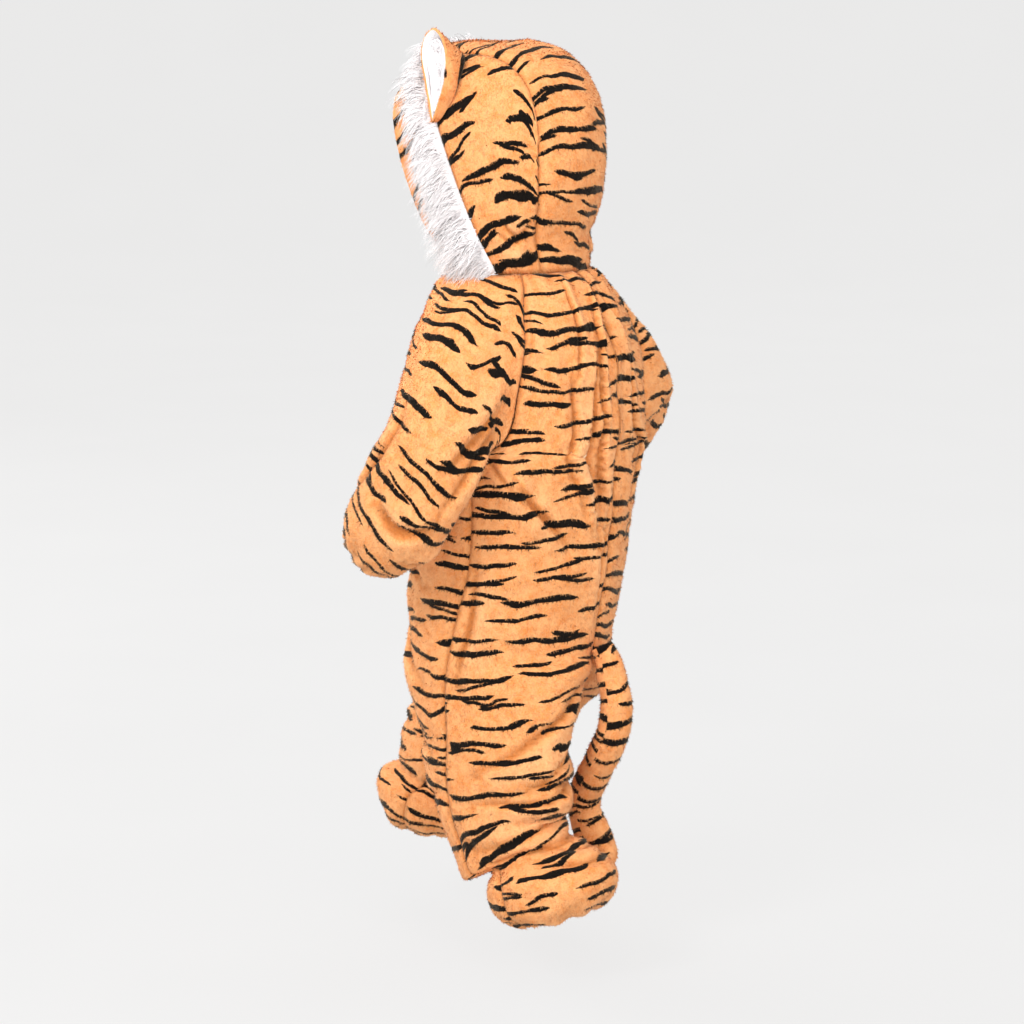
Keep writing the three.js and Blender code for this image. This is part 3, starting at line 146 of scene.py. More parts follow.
TORSO_LEVELS = (
    0, -12, -27, -45, -65, -90, -115, -140, -158, -169, ARMPIT,
    -192, -211, -238, -265, -293, -320, -348, -376,
)
LEG_COLUMNS = "z x half y back front parted inner_back inner_front rise lean seam"
LEFT_LEG = (
    (-398, 22, 87, 4, 100, 100, 0.25, 92, -98, 4, 3, -8),
    (-421, 45, 64, 8, 92, 92, 0.6, 74, -84, 10, 5, -12),
    (-444, 53, 56, 12, 87, 87, 0.85, 46, -60, 19, 5, -15),
    (-466, 55, 54, 15, 82, 82, 1, -8, -8, 33, 5, -18),
    (-489, 57, 53, 18, 79, 78, 1, 4, 4, 24, 6, -22),
    (-511, 58, 52, 22, 75, 74, 1, 15, 15, 12, 7, -26),
    (-532, 60, 51, 27, 69, 69, 1, 26, 26, 4, 11, -28),
    (-553, 60, 51, 34, 61, 62, 1, 34, 34, 0, 20, -28),
    (-577, 61, 51, 43, 52, 53, 1, 43, 43, 0, 36, -26),
    (-578, 61, 45, 62, 41, 38, 1, 62, 62, 0, 27, -22),
    (-588, 63, 58, 80, 60, 58, 1, 80, 80, 0, 18, -20),
    (-604, 63, 61, 88, 67, 65, 1, 88, 88, 0, 15, -20),
    (-620, 63, 59, 91, 61, 60, 1, 91, 91, 0, 14, -20),
    (-631, 63, 50, 94, 47, 46, 1, 94, 94, 0, 15, -20),
    (-636, 63, 38, 98, 33, 33, 1, 98, 98, 0, 17, -20),
)
RIGHT_LEG = (
    (-398, 20, 89, -4, 97, 99, 0.25, 92, -98, 4, 0, -4),
    (-421, 40, 69, -14, 92, 92, 0.6, 74, -84, 10, -2, -4),
    (-444, 51, 58, -28, 89, 86, 0.85, 46, -60, 19, -4, -4),
    (-466, 54, 54, -45, 86, 84, 1, -8, -8, 33, -6, -4),
    (-488, 56, 53, -70, 83, 84, 1, -36, -36, 22, -8, -4),
    (-508, 58, 52, -92, 75, 76, 1, -70, -70, 11, -9, -4),
    (-526, 60, 51, -108, 65, 66, 1, -100, -100, 4, -10, -4),
    (-541, 62, 48, -118, 55, 56, 1, -117, -117, 0, -12, -4),
    (-549, 63, 46, -124, 50, 50, 1, -124, -124, 0, -14, -4),
    (-557, 65, 57, -133, 60, 60, 1, -133, -133, 0, -14, -4),
    (-569, 66, 61, -137, 64, 64, 1, -137, -137, 0, -13, -4),
    (-586, 66, 59, -141, 58, 57, 1, -141, -141, 0, -12, -4),
    (-599, 67, 50, -145, 46, 46, 1, -145, -145, 0, -11, -4),
    (-606, 68, 37, -150, 33, 33, 1, -150, -150, 0, -10, -4),
)
LEFT_SLEEVE = (
    (166, -3, -200, 36, 54, 0.05, -0.6, -0.8),
    (167, -15, -219, 37, 52, 0, -0.62, -0.78),
    (167, -28, -237, 37, 50, 0, -0.66, -0.75),
    (165, -41, -249, 37, 46, -0.05, -0.72, -0.7),
    (162, -52, -258, 35, 41, -0.08, -0.77, -0.63),
    (158, -61, -264, 32, 35, -0.1, -0.8, -0.58),
    (155, -68, -268, 28, 29, -0.1, -0.82, -0.56),
)
RIGHT_SLEEVE = (
    (176, 8, -170, 37, 50, 0.1, -0.82, -0.55),
    (180, -8, -179, 38, 49, 0.05, -0.84, -0.53),
    (182, -24, -187, 38, 48, 0.02, -0.85, -0.52),
    (182, -40, -194, 38, 46, 0, -0.86, -0.51),
    (180, -54, -201, 36, 42, -0.05, -0.87, -0.5),
    (178, -66, -207, 33, 37, -0.05, -0.87, -0.5),
    (176, -75, -212, 28, 31, -0.05, -0.87, -0.5),
)
# How a sleeve head leaves its seams: underarm, back, top and front, each with the
# direction at the seam and the curve's reach at its start and end
LEFT_HEAD = (
    (0.95, -0.3, -0.1, 10, 8),
    (0.85, -0.35, -0.4, 38, 45),
    (0.9, -0.1, -0.35, 76, 75),
    (0.95, 0.05, -0.2, 46, 40),
)
RIGHT_HEAD = (
    (0.95, -0.2, 0, 9, 8),
    (0.88, 0.26, -0.38, 70, 68),
    (0.68, -0.05, -0.7, 62, 75),
    (0.9, 0.1, -0.3, 38, 34),
)
HOOD = Table("z half back mid", (
    (0, 80, 68, 9),
    (14, 84, 65, 8),
    (33, 87, 69, 5),
    (50, 90, 80, 2),
    (68, 92, 91, -1),
    (95, 93, 101, -6),
))
TEMPLE = 95.0
CROWN_RISE = 125.0
CROWN_POWER = 2.8
HOOD_FRONT_DEPTH = 226.0
HOOD_CENTRE = (-6.0, 95.0)
GUSSET = Table("run half", ((0, 45), (0.18, 57), (0.4, 61), (0.7, 57), (1, 50)))
FACE_SEAM_Y = 30.0
FACE_SEAM_SLOPE = -0.42
FACE_ROWS = 13
FUR_FRONT = (
    (75, -13, 0), (81, -27, 40), (84, -42, 90), (81, -58, 140), (66, -70, 178), (36, -77, 199), (0, -79, 205),
)
FACE_RIM = (
    (16, -55, 0), (44, -66, 26), (62, -76, 64), (72, -86, 108),
    (72, -93, 145), (57, -99, 166), (29, -103, 177), (0, -104, 180),
)
EAR_BASE = ((-26, 143), (-13, 160), (-8, 182), (-12, 203), (-26, 208), (-39, 200), (-40, 184), (-33, 160))
EAR_RIM = (
    (98, -28, 142), (99, -18, 165), (97, -12, 192), (91, -17, 219),
    (84, -33, 233), (79, -50, 222), (85, -49, 198), (95, -35, 165),
)
TAIL_PATH = (
    (0, 106, -372, 12), (0, 114, -386, 14), (0, 119, -404, 15.5), (0, 123, -434, 17), (0, 119, -457, 17),
    (-4, 105, -484, 17), (-10, 90, -507, 17), (-16, 79, -528, 17), (-20, 75, -547, 17.5),
    (-23, 79, -564, 18.5), (-24, 87, -580, 19), (-24, 93, -594, 17), (-24, 96, -604, 10),
)

FOLD_TAPER = 12.0  # how far past its ends a fold of the body still shows
FOLD_RADIUS = 110.0  # radius of the body at which a fold's width counts
FOLD_SWELL = (0.12, 0.8)  # where on a half wave a fold starts, and how much of it follows
SWELLS = 9  # waves that make up the soft swells of a cloth
SWELL_SIZES = (0.6, 1.7)
SWELL_PHASE = 6.3
SWELL_SUM = 3.0
# Painted shade at the foot of every seam and its width, and the painted shade and highlight of gathers
SEAM_PAINTED_SHADE = 0.8  # how dark the foot of a seam is
SEAM_PAINTED_SHADE_WIDTH = 2.6
GATHER_PAINTED_SHADE = 0.45
NECK_CALM = 14.0  # folds of the body fade out this far below the neck seam
CROTCH_RISE = 30.0  # from this rise on, a leg's row still meets the other leg's
LEG_EDGE_FADE = (2.5, 0.15)  # how fast a leg's folds grow from its side seam, and their start
LEG_INNER_FADE = 6
SHOULDER = (55.0, 5.0, -20.0)  # where the print's distance along an arm starts
ARM_STRETCH = 1.05
BISECTIONS = 32
SIDE_REACH = 140.0  # farther out than any point of the hood's side
CROWN_REACH = 220.0
GUSSET_END = 0.6  # first guess of the gusset's end, in half turns
GUSSET_STEPS = 12
GUSSET_STEP_RADIUS = 130.0
FUR_SEAM_RUN = 1.3  # left half of the fur's seam, in lengths up to the brow


@dataclass(frozen=True)
class Fold:
    """A fold of the body that runs down through three levels and angles."""

    levels: tuple[float, float, float]
    angles: tuple[float, float, float]
    width: float
    height: float

    def lift(self, z: float, angle: Numbers) -> Numbers:
        """Height of the fold at a level, for angles counted from the left side."""
        z1, z2, z3 = self.levels
        if z > z1 + FOLD_TAPER or z < z3 - FOLD_TAPER:
            return np.zeros_like(angle)
        along = min(max((z1 - z) / (z1 - z3), 0.0), 1.0)
        middle = float(np.interp(along, (0, (z1 - z2) / (z1 - z3), 1), self.angles))
        turn = (angle - middle + 180) % 360 - 180
        away = np.radians(turn) * FOLD_RADIUS / self.width
        swell = math.sin(math.pi * (FOLD_SWELL[0] + FOLD_SWELL[1] * along))
        return self.height * np.exp(-away * away) * swell


@dataclass(frozen=True)
class LegFold:
    """A fold across a leg: its level, its place round the leg and its fall to the back."""

    level: float
    turn: float
    reach: float
    slope: float
    width: float
    height: float

    def lift(self, z: Numbers, turn: Numbers, behind: Numbers) -> Numbers:
        """Height of the fold.

        Args:
            z: Levels of the points.
            turn: Their angles round the leg.
            behind: How far they lie behind the section's middle.

        Returns:
            The height at each point.
        """
        around = (turn - self.turn) / self.reach
        away = (z - self.level + self.slope * behind) / self.width
        shown = np.abs(around) < 1
        return np.where(shown, self.height * np.exp(-away * away) * np.cos(math.pi / 2 * around), 0)


BODY_FOLDS = (
    Fold((-100, -195, -297), (51, 62, 90), 9, 5),
    Fold((-95, -190, -280), (57, 69, 93), 8, -4.5),
    Fold((-4, -100, -265), (88, 75, 91), 7, 4.5),
    Fold((-8, -110, -250), (96, 80, 96), 5, -4),
    Fold((-12, -110, -270), (108, 86, 101), 6, 4),
    Fold((-35, -90, -150), (44, 42, 36), 7, -4),
    Fold((-165, -205, -255), (20, 30, 46), 9, 4.5),
    Fold((-170, -212, -250), (30, 42, 55), 8, -4),
    Fold((-95, -170, -250), (122, 116, 104), 9, 4),
    Fold((-175, -225, -290), (165, 150, 138), 10, 4.5),
    Fold((-60, -130, -220), (-52, -60, -66), 10, 4.5),
    Fold((-55, -125, -210), (232, 240, 247), 10, 4.5),
    Fold((-235, -290, -350), (-25, -42, -62), 12, 4),
    Fold((-230, -285, -350), (207, 222, 243), 12, 4),
)
LEFT_LEG_FOLDS = (
    LegFold(-470, 78, 75, 0.55, 12, 5),
    LegFold(-508, 75, 85, 0.3, 9, 5),
    LegFold(-524, 70, 90, 0.22, 8, -5),
    LegFold(-492, -70, 60, -0.2, 10, 4),
    LegFold(-548, 60, 80, 0.1, 8, 4.5),
)
RIGHT_LEG_FOLDS = (
    LegFold(-460, 80, 75, 0.5, 12, 4.5),
    LegFold(-478, -60, 70, -0.3, 10, 4.5),
    LegFold(-496, -50, 70, -0.3, 9, -4),
    LegFold(-520, 70, 80, 0.2, 9, 4.5),
)


@dataclass(frozen=True)
class Crease:
    """A crease of one panel, through points of (share across, distance down in mm)."""

    path: tuple[tuple[float, float], ...]
    width: float
    height: float


@dataclass(frozen=True)
class CreaseForm:
    """Section that all creases share, in shares of their own width and height."""

    soft: float = 2.2
    steep: float = 0.6
    foot_at: float = 1.1
    foot_width: float = 0.6
    gain: float = 2.0
    foot_depth: float = 0.6
    # Painted highlight on a crease's ridge and painted shade in its foot
    ridge_painted_highlight: float = 0.6
    foot_painted_shade: float = 1.25
    ends: tuple[float, float] = (0.08, 0.84)
    fade: float = 0.7
    divisions: int = 10


def unit(vectors: Numbers) -> Numbers:
    """The vectors, each made one long."""
    lengths = np.linalg.norm(vectors, axis=-1, keepdims=True)
    return vectors / np.maximum(lengths, 1e-9)


def refine(grid: Numbers, factor: int, axis: int, closed: bool) -> Numbers:
    """Adds points between those of a grid, on smooth curves through them.

    Args:
        grid: Rows, columns and values.
        factor: Number of steps for each step of the grid.
        axis: 0 along the rows, 1 along the columns.
        closed: Whether the grid closes on itself that way.

    Returns:
        The finer grid.
    """
    lines = np.moveaxis(grid, axis, 0)
    if closed:
        padded = np.concatenate([lines[-1:], lines, lines[:2]])
        spans = len(lines)
    else:
        padded = np.concatenate([2 * lines[:1] - lines[1:2], lines, 2 * lines[-1:] - lines[-2:-1]])
        spans = len(lines) - 1
    steps = []
    for step in range(factor):
        t = step / factor
        weights = (
            (-t + 2 * t * t - t**3) / 2,
            (2 - 5 * t * t + 3 * t**3) / 2,
            (t + 4 * t * t - 3 * t**3) / 2,
            (t**3 - t * t) / 2,
        )
        steps.append(sum(w * padded[k:k + spans] for k, w in enumerate(weights)))
    fine = np.stack(steps, axis=1).reshape((spans * factor,) + lines.shape[1:])
    if not closed:
        fine = np.concatenate([fine, lines[-1:]])
    return np.moveaxis(fine, 0, axis)


def spaced_curve(points: tuple[tuple[float, ...], ...], closed: bool, divisions: int) -> Numbers:
    """Points evenly spaced along a smooth curve.

    Args:
        points: What the curve runs through.
        closed: Whether it returns to its start.
        divisions: Number of equal steps.

    Returns:
        divisions points of a closed curve, or one more of an open one.
    """
    rows = np.array(points, dtype=float)
    dense = refine(rows[:, None, :], 40, 0, closed)[:, 0]
    if closed:
        dense = np.concatenate([dense, dense[:1]])
    run = np.concatenate([[0], np.cumsum(np.linalg.norm(np.diff(dense, axis=0), axis=1))])
    at = np.linspace(0, run[-1], divisions + 1)
    spaced = np.stack([np.interp(at, run, dense[:, k]) for k in range(dense.shape[1])], axis=1)
    return spaced[:-1] if closed else spaced


# Flat cut of each piece of cloth, in metres and square metres: width, length, area
CUTS = {
    "back_left_plush": (0.276, 0.78, 0.1282),
    "front_left_plush": (0.197, 0.805, 0.1116),
    "back_right_plush": (0.21, 0.791, 0.1091),
    "front_right_plush": (0.258, 0.738, 0.1113),
    "sleeve_left_plush": (0.52, 0.282, 0.0745),
    "sleeve_right_plush": (0.565, 0.269, 0.0712),
    "hood_gusset_plush": (0.139, 0.344, 0.0405),
    "hood_side_left_plush": (0.174, 0.211, 0.0202),
    "hood_side_right_plush": (0.174, 0.211, 0.0202),
    "hood_fur_base": (0.045, 0.585, 0.0189),
    "hood_front_band_plush": (0.073, 0.533, 0.023),
    "ear_left_back": (0.075, 0.063, 0.0037),
    "ear_left_lining": (0.063, 0.029, 0.0014),
    "ear_right_back": (0.072, 0.06, 0.0034),
    "ear_right_lining": (0.064, 0.03, 0.0015),
}


class Finish(Enum):
    """Material slots of the costume."""

    PLUSH = "tiger_plush"
    FUR = "white_fur"
    WHITE = "white_plush"
    TAPE = "zip_tape"
    METAL = "zip_metal"


def new_object(
    name: str,
    vertices: Numbers,
    faces: Numbers | list[tuple[int, ...]],
    materials: list[bpy.types.Material],
) -> bpy.types.Object:
    """Makes a mesh object from points in millimetres.

    Args:
        name: The piece's name.
        vertices: Points, in rows.
        faces: Corners of each face.
        materials: Materials of the piece.

    Returns:
        The object, at the origin and smooth.
    """
    mesh = bpy.data.meshes.new(name)
    face_list = faces.tolist() if isinstance(faces, np.ndarray) else faces
    mesh.from_pydata((vertices * MM).tolist(), [], face_list)
    mesh.polygons.foreach_set("use_smooth", np.ones(len(mesh.polygons), dtype=bool))
    for material in materials:
        mesh.materials.append(material)
    mesh.update()
    made = bpy.data.objects.new(name, mesh)
    bpy.context.scene.collection.objects.link(made)
    return made


def fill_layer(mesh: bpy.types.Mesh, name: str, values: Numbers) -> None:
    """Writes a UV map from a pair of values for each corner."""
    layer = mesh.uv_layers.new(name=name)
    layer.data.foreach_set("uv", np.asarray(values, dtype=np.float32).ravel())


def fill_attribute(mesh: bpy.types.Mesh, name: str, values: Numbers) -> None:
    """Writes a number for each vertex."""
    layer = mesh.attributes.new(name, "FLOAT", "POINT")
    layer.data.foreach_set("value", np.asarray(values, dtype=np.float32).ravel())


@dataclass(frozen=True)
class Coat:
    """Pile or fur that stands on a cloth."""

    density: float
    length: float
    width: float
    lean: float
    spread: float = 0.35
    nap: float = 1.0
    least_rise: float = 0.12
    twist: float = 0.3
    lengths: tuple[float, float] = (0.6, 1.25)
    widths: tuple[float, float] = (0.7, 1.3)
    root_depth: float = 0.3
    shading: float = 0.16


@dataclass
class Cloth:
    """One cut piece of cloth, as a fine grid of its outer face.

    Attributes:
        name: The piece's name.
        points: Rows, columns and x, y, z.
        closed: Whether the columns close into a tube.
        inside: A point on the hollow side.
        across: Print distance along the rows, with one column more on a tube.
        down: Print distance along the columns, likewise.
        flip: Sign that turns the normals outwards.
        painted_shading: Painted shade in creases, seams and gathers and painted highlight on ridges, or None
            for a plain piece.
    """

    name: str
    points: Numbers
    closed: bool
    inside: tuple[float, float, float]
    across: Numbers
    down: Numbers
    flip: float = 1.0
    painted_shading: Numbers | None = None

    @classmethod
    def cut(
        cls,
        name: str,
        coarse: Numbers,
        fine: tuple[int, int],
        inside: tuple[float, float, float],
        closed: bool = False,
        down: Numbers | None = None,
        middle: float = 1.0,
        swing: float = 0.0,
        offset: tuple[float, float] = (0.0, 0.0),
    ) -> Cloth:
        """Makes the fine cloth from a coarse grid.

        Args:
            name: The piece's name.
            coarse: Grid of its solid's outer face.
            fine: Steps for each step of the grid, along rows' and columns' axes.
            inside: A point on the hollow side.
            closed: Whether the columns close into a tube.
            down: Print distance at each coarse point, or None for the cloth's own length.
            middle: Share of a row from which the print is measured across.
            swing: Angle of the print on the piece, in degrees.
            offset: Where the piece was laid on the printed cloth.

        Returns:
            The cloth.
        """
        grid = coarse if down is None else np.concatenate([coarse, down[..., None]], axis=2)
        grid = refine(refine(grid, fine[0], 0, False), fine[1], 1, closed)
        points = grid[..., :3]
        looped = np.concatenate([points, points[:, :1]], axis=1) if closed else points
        steps = np.linalg.norm(np.diff(looped, axis=1), axis=2)
        run = np.concatenate([np.zeros((len(points), 1)), np.cumsum(steps, axis=1)], axis=1)
        start = run[:, [int(round(middle * (run.shape[1] - 1)))]]
        across = run - start
        if down is None:
            rows = np.linalg.norm(np.diff(looped, axis=0), axis=2).mean(axis=1)
            length = np.concatenate([[0], np.cumsum(rows)])
            drop = np.repeat(length[:, None], looped.shape[1], axis=1)
        else:
            drop = grid[..., 3]
            if closed:
                drop = np.concatenate([drop, drop[:, :1]], axis=1)
        c, s = math.cos(math.radians(swing)), math.sin(math.radians(swing))
        return cls(
            name, points, closed, inside,
            across * c - drop * s + offset[0],
            across * s + drop * c + offset[1],
        )

    def steps(self) -> tuple[Numbers, Numbers]:
        """Directions down the columns and across the rows at every point."""
        down = np.gradient(self.points, axis=0)
        if self.closed:
            across = np.roll(self.points, -1, axis=1) - np.roll(self.points, 1, axis=1)
        else:
            across = np.gradient(self.points, axis=1)
        return down, across

    def normals(self) -> Numbers:
        """Outward normals of the cloth."""
        down, across = self.steps()
        normal = unit(np.cross(across, down))
        away = self.points - np.array(self.inside)
        self.flip = 1.0 if float((normal * away).sum(axis=2).mean()) > 0 else -1.0
        return normal * self.flip

    @property
    def shade(self) -> Numbers:
        """Painted shade and highlight of every point, from -1 in a hollow to 1 on a ridge."""
        return np.zeros(self.points.shape[:2]) if self.painted_shading is None else self.painted_shading

    def push(self, height: Numbers) -> None:
        """Moves every point outwards by its height."""
        self.points = self.points + self.normals() * height[..., None]

    def shares(self) -> Numbers:
        """Share of each column across the piece."""
        count = self.points.shape[1]
        return np.arange(count) / (count if self.closed else count - 1)

    def length(self) -> Numbers:
        """Distance of each row down the piece."""
        rows = np.linalg.norm(np.diff(self.points, axis=0), axis=2).mean(axis=1)
        return np.concatenate([[0], np.cumsum(rows)])

    def border(self) -> tuple[Numbers, Numbers, Numbers, Numbers]:
        """Distance of every point from the first row, last row, first and last column."""
        length = self.length()
        steps = np.linalg.norm(np.diff(self.points, axis=1), axis=2)
        run = np.concatenate([np.zeros((len(self.points), 1)), np.cumsum(steps, axis=1)], axis=1)
        first = np.repeat(length[:, None], self.points.shape[1], axis=1)
        return first, length[-1] - first, run, run[:, -1:] - run

    def crease(self, creases: tuple[Crease, ...], calm: Numbers | float = 1.0) -> tuple[Numbers, Numbers]:
        """Heights and painted shade of the piece's own creases, each soft on one side and steep on the other.

        Args:
            creases: The creases.
            calm: Factor that takes them out, as at a seam.

        Returns:
            The height at every point, and the painted shade from -1 in a fold's foot to 1, a painted
            highlight, on its ridge.
        """
        width = float(np.linalg.norm(np.diff(self.points, axis=1), axis=2).sum(axis=1).mean())
        shares = np.repeat(self.shares()[None, :] * width, len(self.points), axis=0)
        length = np.repeat(self.length()[:, None], self.points.shape[1], axis=1)
        total, shade = np.zeros_like(shares), np.zeros_like(shares)
        form = CreaseForm()
        for crease in creases:
            path = np.array(crease.path) * (width, 1.0)
            line = refine(path[:, None, :], form.divisions, 0, False)[:, 0]
            way = np.gradient(line, axis=0)
            nearest = np.full(shares.shape, 1e9)
            along, aside = np.zeros(shares.shape), np.zeros(shares.shape)
            for k, (x, y) in enumerate(line):
                gap = (shares - x) ** 2 + (length - y) ** 2
                closer = gap < nearest
                nearest = np.where(closer, gap, nearest)
                along = np.where(closer, k / (len(line) - 1), along)
                turned = way[k, 0] * (length - y) - way[k, 1] * (shares - x)
                aside = np.where(closer, np.sign(turned), aside)
            distance = np.sqrt(nearest) * aside * math.copysign(1.0, crease.height) / crease.width
            swell = np.sin(math.pi * (form.ends[0] + form.ends[1] * along)) ** form.fade * calm
            soft, steep = np.minimum(distance, 0) / form.soft, np.maximum(distance, 0) / form.steep
            ridge = np.exp(-(soft**2) - steep**2)
            foot = np.exp(-(((distance - form.foot_at) / form.foot_width) ** 2))
            total += abs(crease.height) * form.gain * (ridge - form.foot_depth * foot) * swell
            shade += (form.ridge_painted_highlight * ridge - form.foot_painted_shade * foot) * swell
        return total, np.clip(shade, -1, 1)

    def soften(self, seed: int, height: float, size: float) -> Numbers:
        """Low random swells, as in any worn cloth.

        Args:
            seed: Which swells.
            height: Their height.
            size: Distance between them.

        Returns:
            The height at every point.
        """
        rng = np.random.default_rng(seed)
        total = np.zeros(self.points.shape[:2])
        for _ in range(SWELLS):
            way = unit(rng.normal(size=3)) * (2 * math.pi / (size * rng.uniform(*SWELL_SIZES)))
            total += np.sin(self.points @ way + rng.uniform(0, SWELL_PHASE))
        return total * height / SWELL_SUM

    def shell(
        self, thickness: float, outer: bpy.types.Material, backing: bpy.types.Material
    ) -> bpy.types.Object:
        """Makes the closed shell.

        Args:
            thickness: Thickness of the cloth.
            outer: Material of the right side and the cut edges.
            backing: Material of the wrong side.

        Returns:
            The new piece.
        """
        normals = self.normals()
        rows, columns = self.points.shape[:2]
        spans = columns if self.closed else columns - 1
        count = rows * columns
        inner = self.points - normals * thickness
        vertices = np.concatenate([self.points.reshape(-1, 3), inner.reshape(-1, 3)])
        j, i = np.meshgrid(np.arange(rows - 1), np.arange(spans), indexing="ij")
        j, i = j.ravel(), i.ravel()
        k = (i + 1) % columns
        upper, lower = j * columns, (j + 1) * columns
        quad = np.stack([upper + i, upper + k, lower + k, lower + i], axis=1)
        places = np.stack([j, j, j + 1, j + 1], axis=1), np.stack([i, i + 1, i + 1, i], axis=1)
        faces = [quad, quad[:, ::-1] + count]
        at = [places, (places[0][:, ::-1], places[1][:, ::-1])]
        edges = []
        across = np.arange(spans)
        after = (across + 1) % columns
        for row, turned in ((0, False), (rows - 1, True)):
            a, b = row * columns + across, row * columns + after
            strip = np.stack([a, a + count, b + count, b], axis=1)
            spot = np.full((spans, 4), row), np.stack([across, across, across + 1, across + 1], axis=1)
            edges.append((strip, spot, turned))
        if not self.closed:
            down = np.arange(rows - 1)
            for column, turned in ((0, True), (columns - 1, False)):
                a, b = down * columns + column, (down + 1) * columns + column
                strip = np.stack([a, a + count, b + count, b], axis=1)
                spot = np.stack([down, down, down + 1, down + 1], axis=1), np.full((rows - 1, 4), column)
                edges.append((strip, spot, turned))
        for strip, spot, turned in edges:
            if turned:
                strip, spot = strip[:, ::-1], (spot[0][:, ::-1], spot[1][:, ::-1])
            faces.append(strip)
            at.append(spot)
        corners = np.concatenate(faces)
        row_at = np.concatenate([spot[0] for spot in at])
        column_at = np.concatenate([spot[1] for spot in at])
        if self.flip > 0:
            corners, row_at, column_at = corners[:, ::-1], row_at[:, ::-1], column_at[:, ::-1]
        made = new_object(self.name, vertices, corners, [outer, backing])
        chart = np.stack([self.across[row_at, column_at], self.down[row_at, column_at]], axis=2) * MM
        fill_layer(made.data, "print", chart)
        slots = np.zeros(len(corners), dtype=np.int32)
        slots[len(quad):2 * len(quad)] = 1
        made.data.polygons.foreach_set("material_index", slots)
        # Painted shade and highlight for the colour of the outer face; the backing gets none
        fill_attribute(made.data, "painted_shading", np.concatenate([self.shade.ravel(), np.zeros(count)]))
        return made

    def area(self) -> float:
        """Area of the outer face in square metres."""
        down, across = self.steps()
        scale = 0.5 if self.closed else 1.0
        return float(np.linalg.norm(np.cross(down, across), axis=2).sum()) * scale * MM * MM

    def roots(self, count: int, rng: np.random.Generator) -> tuple[Numbers, ...]:
        """Random places on the cloth.

        Args:
            count: How many.
            rng: Source of the places.

        Returns:
            Points, normals, directions down and across, print places and painted shading.
        """
        normals = self.normals()
        down, across = self.steps()
        rows, columns = self.points.shape[:2]
        spans = columns if self.closed else columns - 1
        weight = np.linalg.norm(np.cross(down, across), axis=2)[:rows - 1, :spans].ravel()
        cell = rng.choice(len(weight), size=count, p=weight / weight.sum())
        j, i = cell // spans, cell % spans
        k = (i + 1) % columns
        a, b = rng.random((2, count))

        def blended(values: Numbers, last: Numbers) -> Numbers:
            """Values between the four corners of each cell."""
            wa, wb = a[:, None], b[:, None]
            upper = values[j, i] * (1 - wa) + values[j, last] * wa
            lower = values[j + 1, i] * (1 - wa) + values[j + 1, last] * wa
            return upper * (1 - wb) + lower * wb

        chart = np.stack([self.across, self.down], axis=2)
        return (
            blended(self.points, k), unit(blended(normals, k)), unit(blended(down, k)),
            unit(blended(across, k)), blended(chart, i + 1), blended(self.shade[..., None], k),
        )

    def pile(self, coat: Coat, material: bpy.types.Material, seed: int) -> bpy.types.Object:
        """Makes the short pile as one mesh of tapered tufts.

        Args:
            coat: Sizes of the pile.
            material: The cloth's own material, read at each tuft's root.
            seed: Which tufts.

        Returns:
            The new piece.
        """
        rng = np.random.default_rng(seed)
        count = int(self.area() / MM / MM * coat.density)
        base, normal, down, across, chart, painted_shading = self.roots(count, rng)
        stray = rng.normal(size=(count, 3)) * coat.spread
        aim = unit(normal * math.cos(coat.lean) + down * coat.nap * math.sin(coat.lean) + stray)
        risen = (aim * normal).sum(axis=1, keepdims=True)
        aim = unit(aim + normal * np.maximum(coat.least_rise - risen, 0))
        side = unit(np.cross(aim, normal) + rng.normal(size=(count, 3)) * coat.twist)
        long = coat.length * rng.uniform(*coat.lengths, (count, 1))
        wide = coat.width * rng.uniform(*coat.widths, (count, 1)) / 2
        root = base - normal * coat.root_depth
        corners = np.stack([root - side * wide, root + side * wide, root + aim * long], axis=1)
        faces = np.arange(3 * count).reshape(-1, 3)
        made = new_object(f"{self.name}_pile", corners.reshape(-1, 3), faces, [material])
        fill_layer(made.data, "print", np.repeat(chart * MM, 3, axis=0))
        fill_attribute(made.data, "tip", np.tile([0.0, 0.0, 1.0], count))
        # Each tuft carries the painted shade and highlight of its root
        fill_attribute(made.data, "painted_shading", np.repeat(painted_shading[:, 0], 3))
        shading = unit(normal + rng.normal(size=(count, 3)) * coat.shading)
        made.data.normals_split_custom_set_from_vertices(np.repeat(shading, 3, axis=0).tolist())
        return made


